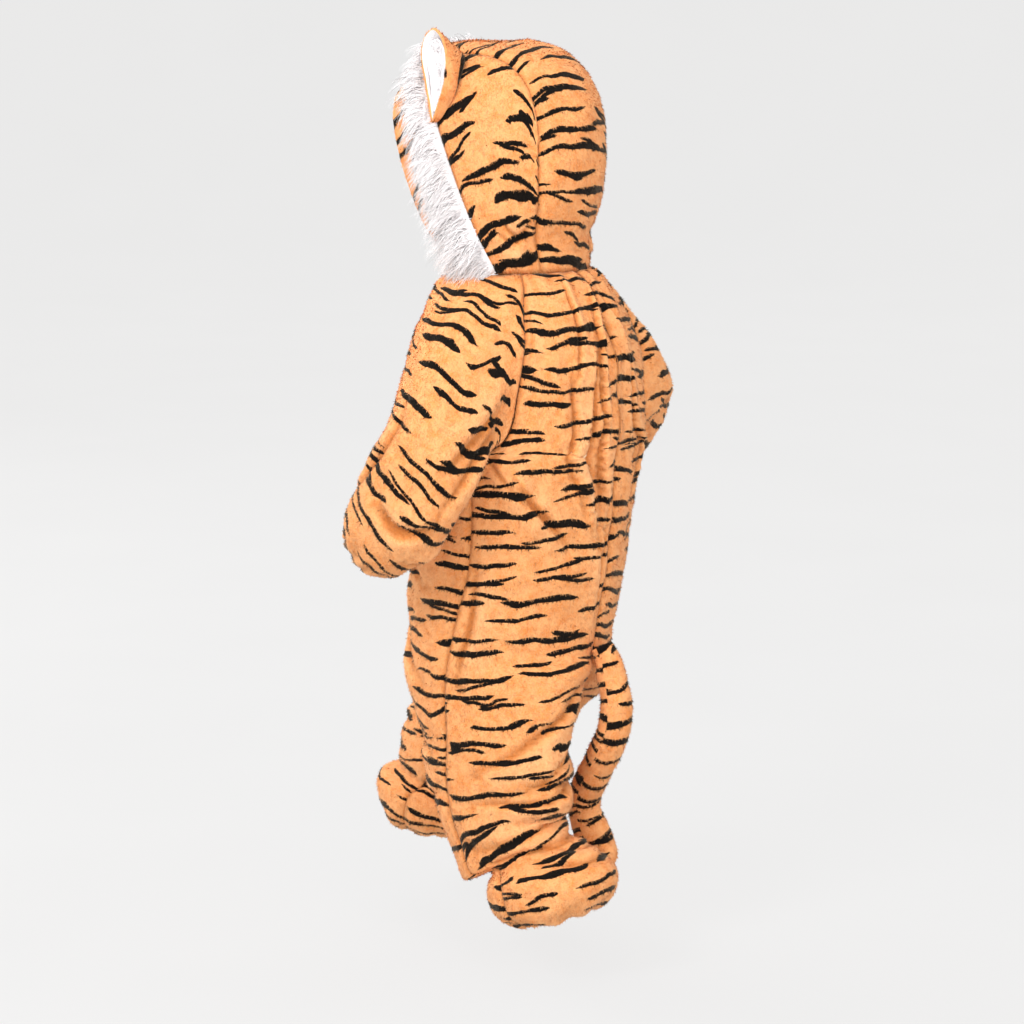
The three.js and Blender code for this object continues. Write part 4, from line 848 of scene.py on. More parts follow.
class Graph:
    """Adds nodes to one node tree and links them."""

    def __init__(self, tree: bpy.types.NodeTree) -> None:
        """Starts on a tree, whose nodes are cleared."""
        self.tree = tree
        tree.nodes.clear()

    def put(self, socket: bpy.types.NodeSocket, value: object) -> None:
        """Links an output to a socket, or sets the socket's own value."""
        if isinstance(value, bpy.types.NodeSocket):
            self.tree.links.new(value, socket)
        else:
            socket.default_value = value

    def fill(self, node: bpy.types.Node, values: dict[str | int, object]) -> None:
        """Links or sets several inputs of a node."""
        for key, value in values.items():
            self.put(node.inputs[key], value)

    def node(
        self, kind: str, inputs: dict[str | int, object] | None = None, **settings: object
    ) -> bpy.types.Node:
        """Adds a node.

        Args:
            kind: Blender's name of the node's type.
            inputs: Values or outputs for its sockets.
            **settings: Its other properties.

        Returns:
            The node.
        """
        made = self.tree.nodes.new(kind)
        for key, value in settings.items():
            setattr(made, key, value)
        self.fill(made, inputs or {})
        return made

    def group(self, tree: bpy.types.NodeTree, inputs: dict[str | int, object]) -> bpy.types.Node:
        """Adds a node group."""
        return self.node("ShaderNodeGroup", inputs, node_tree=tree)

    def place(self) -> bpy.types.NodeSocket:
        """The position in the piece's own space."""
        return self.node("ShaderNodeTexCoord").outputs["Object"]

    def attribute(self, name: str) -> bpy.types.NodeSocket:
        """A number that the mesh keeps."""
        return self.node("ShaderNodeAttribute", attribute_name=name).outputs["Fac"]

    def bump(self, strength: float, distance: float, height: object) -> bpy.types.NodeSocket:
        """A normal from a height."""
        inputs = {"Strength": strength, "Distance": distance, "Height": height}
        return self.node("ShaderNodeBump", inputs).outputs[0]

    def chance(self, x: object, y: object, z: object) -> bpy.types.Node:
        """White noise of three numbers."""
        key = self.node("ShaderNodeCombineXYZ", {0: x, 1: y, 2: z})
        return self.node("ShaderNodeTexWhiteNoise", {"Vector": key.outputs[0]}, noise_dimensions="3D")

    def math(self, operation: str, *values: object) -> bpy.types.NodeSocket:
        """Adds a Math node and returns its output."""
        made = self.node("ShaderNodeMath", dict(enumerate(values)), operation=operation)
        return made.outputs[0]

    def vector(self, operation: str, a: object, b: object) -> bpy.types.NodeSocket:
        """Adds a Vector Math node and returns its output."""
        return self.node("ShaderNodeVectorMath", {0: a, 1: b}, operation=operation).outputs[0]

    def noise(
        self, vector: object, scale: object, detail: float = 2.0, colour: bool = False
    ) -> bpy.types.NodeSocket:
        """Adds a Noise Texture and returns its value or colour."""
        made = self.node("ShaderNodeTexNoise", {"Vector": vector, "Scale": scale, "Detail": detail})
        return made.outputs["Color" if colour else "Fac"]

    def mix(self, factor: object, a: object, b: object) -> bpy.types.NodeSocket:
        """Adds a colour mix and returns its result."""
        made = self.node("ShaderNodeMix", data_type="RGBA")
        self.fill(made, {0: factor, 6: a, 7: b})
        return made.outputs[2]

    def ramp(self, value: object, low: float, high: float) -> bpy.types.NodeSocket:
        """Maps low to 0 and high to 1, held between them."""
        made = self.node("ShaderNodeMapRange", {0: value, 1: low, 2: high, 3: 0.0, 4: 1.0}, clamp=True)
        return made.outputs[0]


def new_group(
    name: str, inputs: dict[str, object], outputs: tuple[str, ...]
) -> tuple[Graph, dict, bpy.types.Node]:
    """Starts a shader node group.

    Args:
        name: The group's name.
        inputs: Default values by name, None for a vector.
        outputs: Names of the numbers that it gives.

    Returns:
        The graph, its inputs by name, and the output node.
    """
    tree = bpy.data.node_groups.new(name, "ShaderNodeTree")
    for key, value in inputs.items():
        kind = "NodeSocketVector" if value is None else "NodeSocketFloat"
        socket = tree.interface.new_socket(name=key, in_out="INPUT", socket_type=kind)
        if value is not None:
            socket.default_value = value
    for key in outputs:
        tree.interface.new_socket(name=key, in_out="OUTPUT", socket_type="NodeSocketFloat")
    graph = Graph(tree)
    entry = graph.node("NodeGroupInput")
    leave = graph.node("NodeGroupOutput")
    return graph, {key: entry.outputs[key] for key in inputs}, leave


@dataclass(frozen=True)
class Brush:
    """How the strokes of the print waver, taper and break."""

    swell: tuple[float, float] = (19.0, 0.021)
    shiver: tuple[float, float] = (70.0, 0.0034)
    row_key: float = 0.37
    row_shift: float = 9.7
    reach: tuple[float, float] = (0.24, 0.27)
    wander: float = 0.2
    guard: float = 0.09
    uneven: tuple[float, float, float] = (75.0, 0.72, 0.56)
    sharp: float = 3.4
    blunt: float = 0.55
    weight: tuple[float, float] = (0.8, 0.45)
    lift: float = 0.42
    edge: tuple[float, float] = (-0.0002, 0.0004)
    share_key: float = 17.0
    thin: float = 0.03


class Effects:
    """Node groups that several finishes share."""

    def __init__(self) -> None:
        """Builds every group once."""
        self.strokes = self.build_strokes()
        self.nap = self.build_nap()
        self.knit = self.build_knit()
        self.wear = self.build_wear()

    @staticmethod
    def build_strokes() -> bpy.types.NodeTree:
        """Rows of tapered, wavy print strokes, placed at random."""
        graph, given, leave = new_group(
            "tiger strokes",
            {
                "Vector": None, "Pitch": 0.018, "Length": 0.078, "Thickness": 0.0026,
                "Tilt": 0.0, "Seed": 0.0, "Share": 0.9,
            },
            ("Mask",),
        )
        m, brush = graph.math, Brush()

        def centred(value: object) -> bpy.types.NodeSocket:
            """The value less a half."""
            return m("SUBTRACT", value, 0.5)

        def waver(scale: float, height: float) -> bpy.types.NodeSocket:
            """A smooth random shift."""
            return m("MULTIPLY", centred(graph.noise(given["Vector"], scale, 1.0)), height)

        place = graph.node("ShaderNodeSeparateXYZ", {0: given["Vector"]})
        x, y = place.outputs[0], place.outputs[1]
        shift = m("ADD", waver(*brush.swell), waver(*brush.shiver))
        level = m("ADD", m("ADD", y, m("MULTIPLY", x, given["Tilt"])), shift)
        rows = m("DIVIDE", level, given["Pitch"])
        row = m("FLOOR", rows)
        up = m("MULTIPLY", centred(m("SUBTRACT", rows, row)), given["Pitch"])
        start = graph.chance(row, given["Seed"], brush.row_key).outputs["Value"]
        cells = m("ADD", m("DIVIDE", x, given["Length"]), m("MULTIPLY", start, brush.row_shift))
        cell = m("FLOOR", cells)
        side = centred(m("SUBTRACT", cells, cell))
        chance = graph.chance(row, cell, given["Seed"])
        parts = graph.node("ShaderNodeSeparateColor", {0: chance.outputs["Color"]})
        reach = m("ADD", brush.reach[0], m("MULTIPLY", parts.outputs[0], brush.reach[1]))
        middle = m("MULTIPLY", centred(parts.outputs[1]), brush.wander)
        away = m("ABSOLUTE", m("SUBTRACT", side, middle))
        taper = m("MAXIMUM", m("SUBTRACT", 1.0, m("DIVIDE", away, reach)), 0.0)
        guard = graph.ramp(m("SUBTRACT", 0.5, m("ABSOLUTE", side)), 0.0, brush.guard)
        scale, least, more = brush.uneven
        uneven = m("ADD", least, m("MULTIPLY", graph.noise(given["Vector"], scale, 1.0), more))
        blunted = m("POWER", m("MINIMUM", m("MULTIPLY", taper, brush.sharp), 1.0), brush.blunt)
        shape = m("MULTIPLY", m("MULTIPLY", blunted, uneven), guard)
        weight = m("ADD", brush.weight[0], m("MULTIPLY", parts.outputs[2], brush.weight[1]))
        half = m("MULTIPLY", m("MULTIPLY", given["Thickness"], shape), weight)
        lift = m("MULTIPLY", centred(chance.outputs["Value"]), m("MULTIPLY", given["Pitch"], brush.lift))
        inside = m("SUBTRACT", half, m("ABSOLUTE", m("SUBTRACT", up, lift)))
        mask = graph.ramp(inside, *brush.edge)
        drawn = graph.chance(cell, row, m("ADD", given["Seed"], brush.share_key))
        present = m("LESS_THAN", drawn.outputs["Value"], given["Share"])
        shown = m("MULTIPLY", m("MULTIPLY", mask, present), m("GREATER_THAN", shape, brush.thin))
        graph.put(leave.inputs["Mask"], shown)
        return graph.tree

    @staticmethod
    def build_nap() -> bpy.types.NodeTree:
        """Brushed patches and single tufts of a pile: a tone and a height."""
        graph, given, leave = new_group(
            "brushed nap", {"Vector": None, "Patch scale": 105.0, "Tuft scale": 620.0},
            ("Tone", "Height"),
        )
        m = graph.math
        patch = graph.noise(given["Vector"], given["Patch scale"], 3.0)
        tuft = graph.noise(given["Vector"], given["Tuft scale"])
        streaks = m("MULTIPLY", m("SUBTRACT", tuft, 0.5), 1.9)
        tone = m("ADD", graph.ramp(patch, 0.38, 0.78), streaks)
        graph.put(leave.inputs["Tone"], m("MINIMUM", m("MAXIMUM", tone, 0.0), 1.0))
        graph.put(leave.inputs["Height"], m("ADD", tuft, m("MULTIPLY", patch, 0.6)))
        return graph.tree

    @staticmethod
    def build_knit() -> bpy.types.NodeTree:
        """Fine ribs of a knitted backing or a woven tape, as a height."""
        graph, given, leave = new_group(
            "fine knit", {"Vector": None, "Scale": 900.0}, ("Height",),
        )
        place = graph.node("ShaderNodeSeparateXYZ", {0: given["Vector"]})
        m = graph.math
        flat = m("ADD", place.outputs[0], place.outputs[1])
        pitch = m("MULTIPLY", given["Scale"], 3.1)
        one = m("SINE", m("MULTIPLY", m("ADD", flat, place.outputs[2]), pitch))
        two = m("SINE", m("MULTIPLY", m("SUBTRACT", flat, place.outputs[2]), pitch))
        graph.put(leave.inputs["Height"], m("MULTIPLY", m("ADD", one, two), 0.25))
        return graph.tree

    @staticmethod
    def build_wear() -> bpy.types.NodeTree:
        """Tarnish and rubbed places of small metal parts."""
        graph, given, leave = new_group(
            "rubbed metal", {"Vector": None, "Scale": 300.0}, ("Tarnish", "Roughness"),
        )
        cloud = graph.noise(given["Vector"], given["Scale"], 4.0)
        graph.put(leave.inputs["Tarnish"], graph.ramp(cloud, 0.35, 0.7))
        rough = graph.math("ADD", 0.3, graph.math("MULTIPLY", cloud, 0.25))
        graph.put(leave.inputs["Roughness"], rough)
        return graph.tree


def principled(name: str) -> tuple[bpy.types.Material, Graph, bpy.types.Node]:
    """Starts a material with one Principled shader."""
    material = bpy.data.materials.new(name)
    material.use_nodes = True
    graph = Graph(material.node_tree)
    shader = graph.node("ShaderNodeBsdfPrincipled")
    leave = graph.node("ShaderNodeOutputMaterial")
    graph.put(leave.inputs["Surface"], shader.outputs[0])
    return material, graph, shader


# Rows of strokes laid over each other: one regular set and two sparse, tilted ones
STROKE_LAYERS = (
    {"Pitch": 0.0186, "Length": 0.102, "Thickness": 0.0026, "Tilt": 0.03, "Seed": 3.0, "Share": 0.97},
    {"Pitch": 0.033, "Length": 0.07, "Thickness": 0.0021, "Tilt": 0.17, "Seed": 11.0, "Share": 0.46},
    {"Pitch": 0.029, "Length": 0.058, "Thickness": 0.0021, "Tilt": -0.14, "Seed": 23.0, "Share": 0.4},
)


@dataclass(frozen=True)
class TigerPlush:
    """Orange plush with black strokes, a leaning pile and a soft sheen, with shade painted into its creases,
    seams and gathers and a highlight painted on its ridges.
    """

    light: tuple[float, float, float, float] = (0.91, 0.42, 0.165, 1)
    deep: tuple[float, float, float, float] = (0.80, 0.27, 0.07, 1)
    # Painted shade colour for creases, seam feet and gather hollows
    hollow: tuple[float, float, float, float] = (0.50, 0.15, 0.03, 1)
    ink: tuple[float, float, float, float] = (0.007, 0.005, 0.004, 1)
    # Colour of the tufts' tips, also used as the painted highlight on ridges
    tip: tuple[float, float, float, float] = (0.97, 0.60, 0.32, 1)
    tip_share: float = 0.45
    painted_shade_share: float = 0.8
    painted_highlight_share: float = 0.4
    ragged_scale: float = 520.0
    ragged: tuple[float, float, float] = (0.0013, 0.001, 0.0)

    def material(self, effects: Effects) -> bpy.types.Material:
        """Builds the material.

        Args:
            effects: The shared node groups.

        Returns:
            The material.
        """
        made, graph, shader = principled("tiger plush")
        chart = graph.node("ShaderNodeUVMap", uv_map="print").outputs[0]
        scatter = graph.noise(chart, self.ragged_scale, 1.0, colour=True)
        ragged = graph.vector("MULTIPLY", graph.vector("SUBTRACT", scatter, (0.5, 0.5, 0.5)), self.ragged)
        vector = graph.vector("ADD", chart, ragged)
        mask: object = 0.0
        for layer in STROKE_LAYERS:
            strokes = graph.group(effects.strokes, {"Vector": vector, **layer})
            mask = graph.math("MAXIMUM", mask, strokes.outputs[0])
        nap = graph.group(effects.nap, {"Vector": graph.place()})
        # Painted shade in hollows and painted highlight on ridges, read from the mesh's painted shading
        # attribute
        painted_shading = graph.attribute("painted_shading")
        painted_shade_amount = graph.math("MAXIMUM", graph.math("MULTIPLY", painted_shading, -1.0), 0.0)
        painted_highlight_amount = graph.math("MAXIMUM", painted_shading, 0.0)
        ground = graph.mix(nap.outputs["Tone"], self.light, self.deep)
        # Lighter tuft tips, then painted shade in hollows and painted highlight on ridges
        for amount, share, colour in (
            (graph.attribute("tip"), self.tip_share, self.tip),
            (painted_shade_amount, self.painted_shade_share, self.hollow),
            (painted_highlight_amount, self.painted_highlight_share, self.tip),
        ):
            ground = graph.mix(graph.math("MULTIPLY", amount, share), ground, colour)
        graph.fill(shader, {
            "Base Color": graph.mix(mask, ground, self.ink),
            "Normal": graph.bump(0.55, 0.0012, nap.outputs["Height"]),
            "Roughness": 0.92, "Specular IOR Level": 0.08, "Sheen Weight": 0.2, "Sheen Roughness": 0.45,
            "Sheen Tint": (1.0, 0.82, 0.62, 1),
        })
        return made


@dataclass(frozen=True)
class WhitePile:
    """White fur or plush with a faint pink cast."""

    name: str
    light: tuple[float, float, float, float] = (0.95, 0.915, 0.915, 1)
    deep: tuple[float, float, float, float] = (0.86, 0.79, 0.80, 1)
    sheen: float = 0.3
    roughness: float = 0.75

    def material(self, effects: Effects) -> bpy.types.Material:
        """Builds the material.

        Args:
            effects: The shared node groups.

        Returns:
            The material.
        """
        made, graph, shader = principled(self.name)
        nap = graph.group(effects.nap, {"Vector": graph.place()})
        root = graph.math("SUBTRACT", 0.75, graph.math("MULTIPLY", graph.attribute("tip"), 0.6))
        shade = graph.math("MULTIPLY", nap.outputs["Tone"], root)
        graph.fill(shader, {
            "Base Color": graph.mix(shade, self.light, self.deep),
            "Normal": graph.bump(0.4, 0.001, nap.outputs["Height"]),
            "Roughness": self.roughness, "Specular IOR Level": 0.25, "Sheen Weight": self.sheen,
            "Sheen Roughness": 0.4,
        })
        return made


@dataclass(frozen=True)
class Knit:
    """Plain knitted or woven cloth."""

    name: str
    colour: tuple[float, float, float, float]
    shade: tuple[float, float, float, float]
    scale: float = 900.0

    def material(self, effects: Effects) -> bpy.types.Material:
        """Builds the material.

        Args:
            effects: The shared node groups.

        Returns:
            The material.
        """
        made, graph, shader = principled(self.name)
        place = graph.place()
        knit = graph.group(effects.knit, {"Vector": place, "Scale": self.scale})
        cloud = graph.ramp(graph.noise(place, 60.0, 3.0), 0.3, 0.7)
        graph.fill(shader, {
            "Base Color": graph.mix(cloud, self.colour, self.shade),
            "Normal": graph.bump(0.4, 0.0004, knit.outputs[0]),
            "Roughness": 0.9, "Sheen Weight": 0.15,
        })
        return made


@dataclass(frozen=True)
class ZipMetal:
    """Dark antiqued metal of the zip, rubbed lighter in places."""

    bright: tuple[float, float, float, float] = (0.42, 0.36, 0.30, 1)
    dull: tuple[float, float, float, float] = (0.12, 0.10, 0.085, 1)

    def material(self, effects: Effects) -> bpy.types.Material:
        """Builds the material.

        Args:
            effects: The shared node groups.

        Returns:
            The material.
        """
        made, graph, shader = principled("zip metal")
        wear = graph.group(effects.wear, {"Vector": graph.place()})
        graph.fill(shader, {
            "Base Color": graph.mix(wear.outputs["Tarnish"], self.bright, self.dull),
            "Roughness": wear.outputs["Roughness"], "Metallic": 0.9,
        })
        return made


@dataclass(frozen=True)
class Wardrobe:
    """The materials of the costume."""

    plush: bpy.types.Material
    fur: bpy.types.Material
    white: bpy.types.Material
    backing: bpy.types.Material
    tape: bpy.types.Material
    metal: bpy.types.Material

    @classmethod
    def make(cls) -> Wardrobe:
        """Builds every material once."""
        effects = Effects()
        tape = Knit("zip tape cloth", (0.02, 0.018, 0.018, 1), (0.03, 0.028, 0.028, 1), 1500.0)
        return cls(
            plush=TigerPlush().material(effects),
            fur=WhitePile("white fur", sheen=0.35, roughness=0.6).material(effects),
            white=WhitePile("white plush").material(effects),
            backing=Knit("knitted backing", (0.82, 0.55, 0.33, 1), (0.74, 0.46, 0.25, 1)).material(effects),
            tape=tape.material(effects),
            metal=ZipMetal().material(effects),
        )


def ride(made: bpy.types.Object, body: str = "costume") -> bpy.types.Object:
    """Puts a piece on its body."""
    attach(made, body)
    return made


def declare(
    cloth: Cloth, solid: str, piece: bpy.types.Object, pile: bpy.types.Object
) -> list[bpy.types.Object]:
    """Puts a worn piece and its pile in its solid's place and states its flat cut.

    Args:
        cloth: The grid that the piece was made from.
        solid: Name of the solid.
        piece: The shell.
        pile: What stands on it.

    Returns:
        Both pieces.
    """
    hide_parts(solid)
    ride(piece)
    ride(pile)
    width, length, area = CUTS[piece.name]
    LOG.info("%s: cut %.4f m2, outer face %.4f m2", piece.name, area, cloth.area())
    return [piece, pile]


def torso_points(side: int, z: float, angles: Numbers) -> Numbers:
    """Points of one body section, with its folds.

    Args:
        side: 1 for the left, -1 for the right.
        z: The level.
        angles: Angles behind the widest point, 90 at the centre back.

    Returns:
        One point for each angle.
    """
    half = float(TORSO.read(z, "left" if side > 0 else "right"))
    depth = np.where(angles > 0, TORSO.read(z, "back"), TORSO.read(z, "front"))
    c, s = np.cos(np.radians(angles)), np.sin(np.radians(angles))
    around = angles if side > 0 else 180 - angles
    calm = min(1.0, -z / NECK_CALM)
    calm = calm * calm * (3 - 2 * calm)
    lift = sum(fold.lift(z, around) for fold in BODY_FOLDS) * calm
    normal = unit(np.stack([c / half, s / depth], axis=1))
    x = np.where(np.abs(angles) == 90, 0, half * c + normal[:, 0] * lift)
    y = TORSO.read(z, "mid") + depth * s + normal[:, 1] * lift
    return np.stack([side * x, y, np.full_like(x, z)], axis=1)


def raglan_angle(side: int, face: int, z: float) -> float:
    """Angle at which a body row starts, at its raglan or side seam."""
    if z <= ARMPIT:
        return float(TORSO.read(z, "seam"))
    if face < 0:
        return -float(RAGLAN.read(z, "front"))
    return float(RAGLAN.read(z, "back_left" if side > 0 else "back_right"))


@dataclass
class Body:
    """The two back and two front panels, each in one with half a leg."""

    wardrobe: Wardrobe
    columns: int = 10
    fine: tuple[int, int] = (6, 7)
    thickness: float = 2.2
    sink: float = 1.2
    seam_depth: float = 1.9
    seam_width: float = 3.6
    opening: float = 3.4
    opening_end: float = -332.0
    neck_puckers: float = 7.0
    hem_pleats: float = 9.0
    hem_height: float = 1.8
    hem_reach: float = 34.0
    tip: tuple[float, float, float] = (61.0, -8.0, -614.0)
    tip_reach: float = 20.0
    tip_shift: tuple[float, float, float] = (0.0, 7.0, 15.0)
    coat: Coat = field(default_factory=lambda: Coat(0.34, 2.9, 1.0, 0.95, 0.24))

    def leg_row(self, side: int, face: int, row: dict[str, float], folds: tuple[LegFold, ...]) -> Numbers:
        """One row of a seat or leg panel, from the side seam to the inner edge.

        Args:
            side: 1 for the left, -1 for the right.
            face: 1 for the back, -1 for the front.
            row: Sizes of the section.
            folds: Folds of that leg.

        Returns:
            The row's points.
        """
        outer = row["x"] + row["half"]
        parted = row["parted"] == 1
        inner = row["x"] - row["half"] if parted and row["rise"] < CROTCH_RISE else 0.0
        depth = row["back"] if face > 0 else row["front"]
        inner_y = row["inner_back"] if face > 0 else row["inner_front"]
        middle = (outer + inner) / 2 if parted else row["x"]
        share = 1 / (1 + row["parted"])
        u = np.arange(self.columns + 1) / self.columns
        first = row["seam"] + (face * 90 - row["seam"]) * np.minimum(u / share, 1)
        second = face * (90 + 90 * np.maximum(u - share, 0) / max(1 - share, 1e-6))
        on_side = u <= share + 1e-9
        turn = np.where(on_side, first, second)
        c, s = np.cos(np.radians(turn)), np.sin(np.radians(turn))
        reach = np.where(turn > 0, row["back"], row["front"])
        x = np.where(on_side, middle + (outer - middle) * c, middle + (middle - inner) * c)
        y = np.where(on_side, row["y"] + reach * s, inner_y + (row["y"] + face * depth - inner_y) * np.abs(s))
        inwards = np.sin(math.pi / 2 * u) ** 2
        level = 1 - inwards if row["rise"] > 0 else 1.0
        slope = math.tan(math.radians(row["lean"]))
        z = row["z"] + row["rise"] * inwards + slope * (y - row["y"]) * level
        lift = sum(fold.lift(z, turn, y - row["y"]) for fold in folds)
        grown = np.minimum(1, u * LEG_EDGE_FADE[0] + LEG_EDGE_FADE[1])
        lift = lift * np.sin(math.pi * grown * 0.5) * (1 - u**LEG_INNER_FADE)
        return np.stack([side * (x + c * lift), y + s * lift, z], axis=1)

    def grid(self, side: int, face: int) -> Numbers:
        """Coarse grid of one panel."""
        rows = []
        for z in TORSO_LEVELS:
            start = raglan_angle(side, face, z)
            angles = np.linspace(start, face * 90, self.columns + 1)
            rows.append(torso_points(side, z, angles))
        legs, folds = (LEFT_LEG, LEFT_LEG_FOLDS) if side > 0 else (RIGHT_LEG, RIGHT_LEG_FOLDS)
        for sizes in legs:
            rows.append(self.leg_row(side, face, dict(zip(LEG_COLUMNS.split(), sizes)), folds))
        grid = np.stack(rows)
        if side > 0:
            near = np.exp(-(((grid - np.array(self.tip)) / self.tip_reach) ** 2).sum(axis=2))
            grid = grid + near[..., None] * np.array(self.tip_shift)
        if face < 0:
            shown = grid[:, -1, 2] > self.opening_end
            grid[shown, -1, 0] = side * self.opening
        return grid

    def creases(self, side: int, face: int) -> tuple[Crease, ...]:
        """Creases of one panel, as the photograph shows or the cloth would lie."""
        if face > 0 and side > 0:
            return (
                Crease(((0.93, 20), (0.8, 90), (0.86, 200), (0.95, 300)), 5, 2.6),
                Crease(((0.72, 70), (0.66, 150), (0.78, 250), (0.9, 330)), 6, -2.6),
                Crease(((0.5, 110), (0.62, 190), (0.84, 280)), 6, 2.4),
                Crease(((0.12, 190), (0.3, 225), (0.55, 262)), 6, 2.8),
                Crease(((0.16, 205), (0.36, 244), (0.6, 290)), 6, -2.4),
                Crease(((0.08, 300), (0.16, 370), (0.12, 430)), 8, 1.8),
                Crease(((0.75, 452), (0.55, 480), (0.36, 505), (0.18, 530)), 8, 2.8),
                Crease(((0.7, 492), (0.5, 520), (0.3, 545)), 7, -2.8),
                Crease(((0.62, 560), (0.4, 574), (0.15, 570)), 6, 2.6),
                Crease(((0.6, 588), (0.35, 600), (0.1, 592)), 6, -2.6),
                Crease(((0.3, 640), (0.45, 655), (0.7, 650)), 6, 2.2),
                Crease(((0.55, 10), (0.6, 60), (0.52, 130)), 5, 1.8),
                Crease(((0.97, 200), (0.9, 300), (0.94, 390)), 5, -2.4),
                Crease(((0.85, 540), (0.6, 548), (0.35, 540)), 6, -2.4),
                Crease(((0.15, 610), (0.4, 622), (0.65, 616)), 6, 2.6),
                Crease(((0.8, 632), (0.6, 640), (0.45, 634)), 5, -2.0),
                Crease(((0.05, 30), (0.1, 70), (0.05, 120)), 5, 1.8),
            )
        if face > 0:
            return (
                Crease(((0.9, 30), (0.74, 110), (0.82, 230)), 6, 2.4),
                Crease(((0.66, 90), (0.6, 170), (0.74, 270)), 6, -2.2),
                Crease(((0.12, 195), (0.3, 235), (0.5, 290)), 7, 2.4),
                Crease(((0.8, 455), (0.55, 480), (0.3, 490)), 8, 2.4),
                Crease(((0.7, 520), (0.45, 540), (0.2, 545)), 7, -2.4),
                Crease(((0.6, 575), (0.35, 588), (0.1, 580)), 6, 2.2),
            )
        return (
            Crease(((0.3, 60), (0.36, 130), (0.32, 210)), 7, 2.4),
            Crease(((0.12, 195), (0.28, 240), (0.5, 275)), 7, 2.2),
            Crease(((0.7, 250), (0.5, 300), (0.3, 330)), 8, -2.0),
            Crease(((0.85, 380), (0.55, 420), (0.25, 440)), 8, 2.2),
            Crease(((0.7, 500), (0.45, 520), (0.2, 515)), 7, 2.4),
            Crease(((0.65, 545), (0.4, 560), (0.15, 552)), 7, -2.2),
        )

    def build(self) -> list[bpy.types.Object]:
        """Makes the four panels with their pile.

        Returns:
            The new pieces.
        """
        made = []
        for side, word in ((1, "left"), (-1, "right")):
            for face, place in ((1, "back"), (-1, "front")):
                name = f"{place}_{word}"
                seed = 10 + 3 * side + 7 * face
                cloth = Cloth.cut(
                    f"{name}_plush", self.grid(side, face), self.fine, (side * 45, 0, -300),
                    offset=(side * 310 + face * 95, 130 * face + 47 * side),
                )
                top, hem, outer_edge, centre = cloth.border()
                nearest = np.minimum(outer_edge, centre)
                calm = np.clip(nearest / 16, 0, 1) * np.clip(top / 14, 0, 1)
                height, shade = cloth.crease(self.creases(side, face), calm)
                height += cloth.soften(seed, 0.9, 70) * calm + cloth.soften(seed + 50, 0.45, 26) * calm
                height -= self.seam_depth * np.exp(-((nearest / self.seam_width) ** 2))
                height -= self.seam_depth * 0.5 * np.exp(-((top / self.seam_width) ** 2))
                pleat = np.cos(cloth.shares()[None, :] * self.hem_pleats * math.pi + 1.3 * np.sin(hem / 9))
                gather = pleat * np.exp(-((hem / self.hem_reach) ** 2)) * np.clip(nearest / 8, 0, 1)
                # Seam mask for the painted shade at the seam feet
                seams = np.exp(-((np.minimum(nearest, top) / SEAM_PAINTED_SHADE_WIDTH) ** 2))
                pucker = np.cos(cloth.shares()[None, :] * self.neck_puckers * math.pi + 0.8 * np.sin(top / 7))
                gather = gather + 0.7 * pucker * np.exp(-(((top - 9) / 9) ** 2)) * np.clip(nearest / 8, 0, 1)
                # Painted shade in crease feet, gather hollows and seam feet, and painted highlight on ridges
                # and gather tops
                cloth.painted_shading = np.clip(shade + GATHER_PAINTED_SHADE * gather - SEAM_PAINTED_SHADE * seams, -1, 1)
                cloth.push(height + gather * self.hem_height - self.sink)
                piece = cloth.shell(self.thickness, self.wardrobe.plush, self.wardrobe.backing)
                pile = cloth.pile(self.coat, self.wardrobe.plush, seed)
                made += declare(cloth, name, piece, pile)
        return made


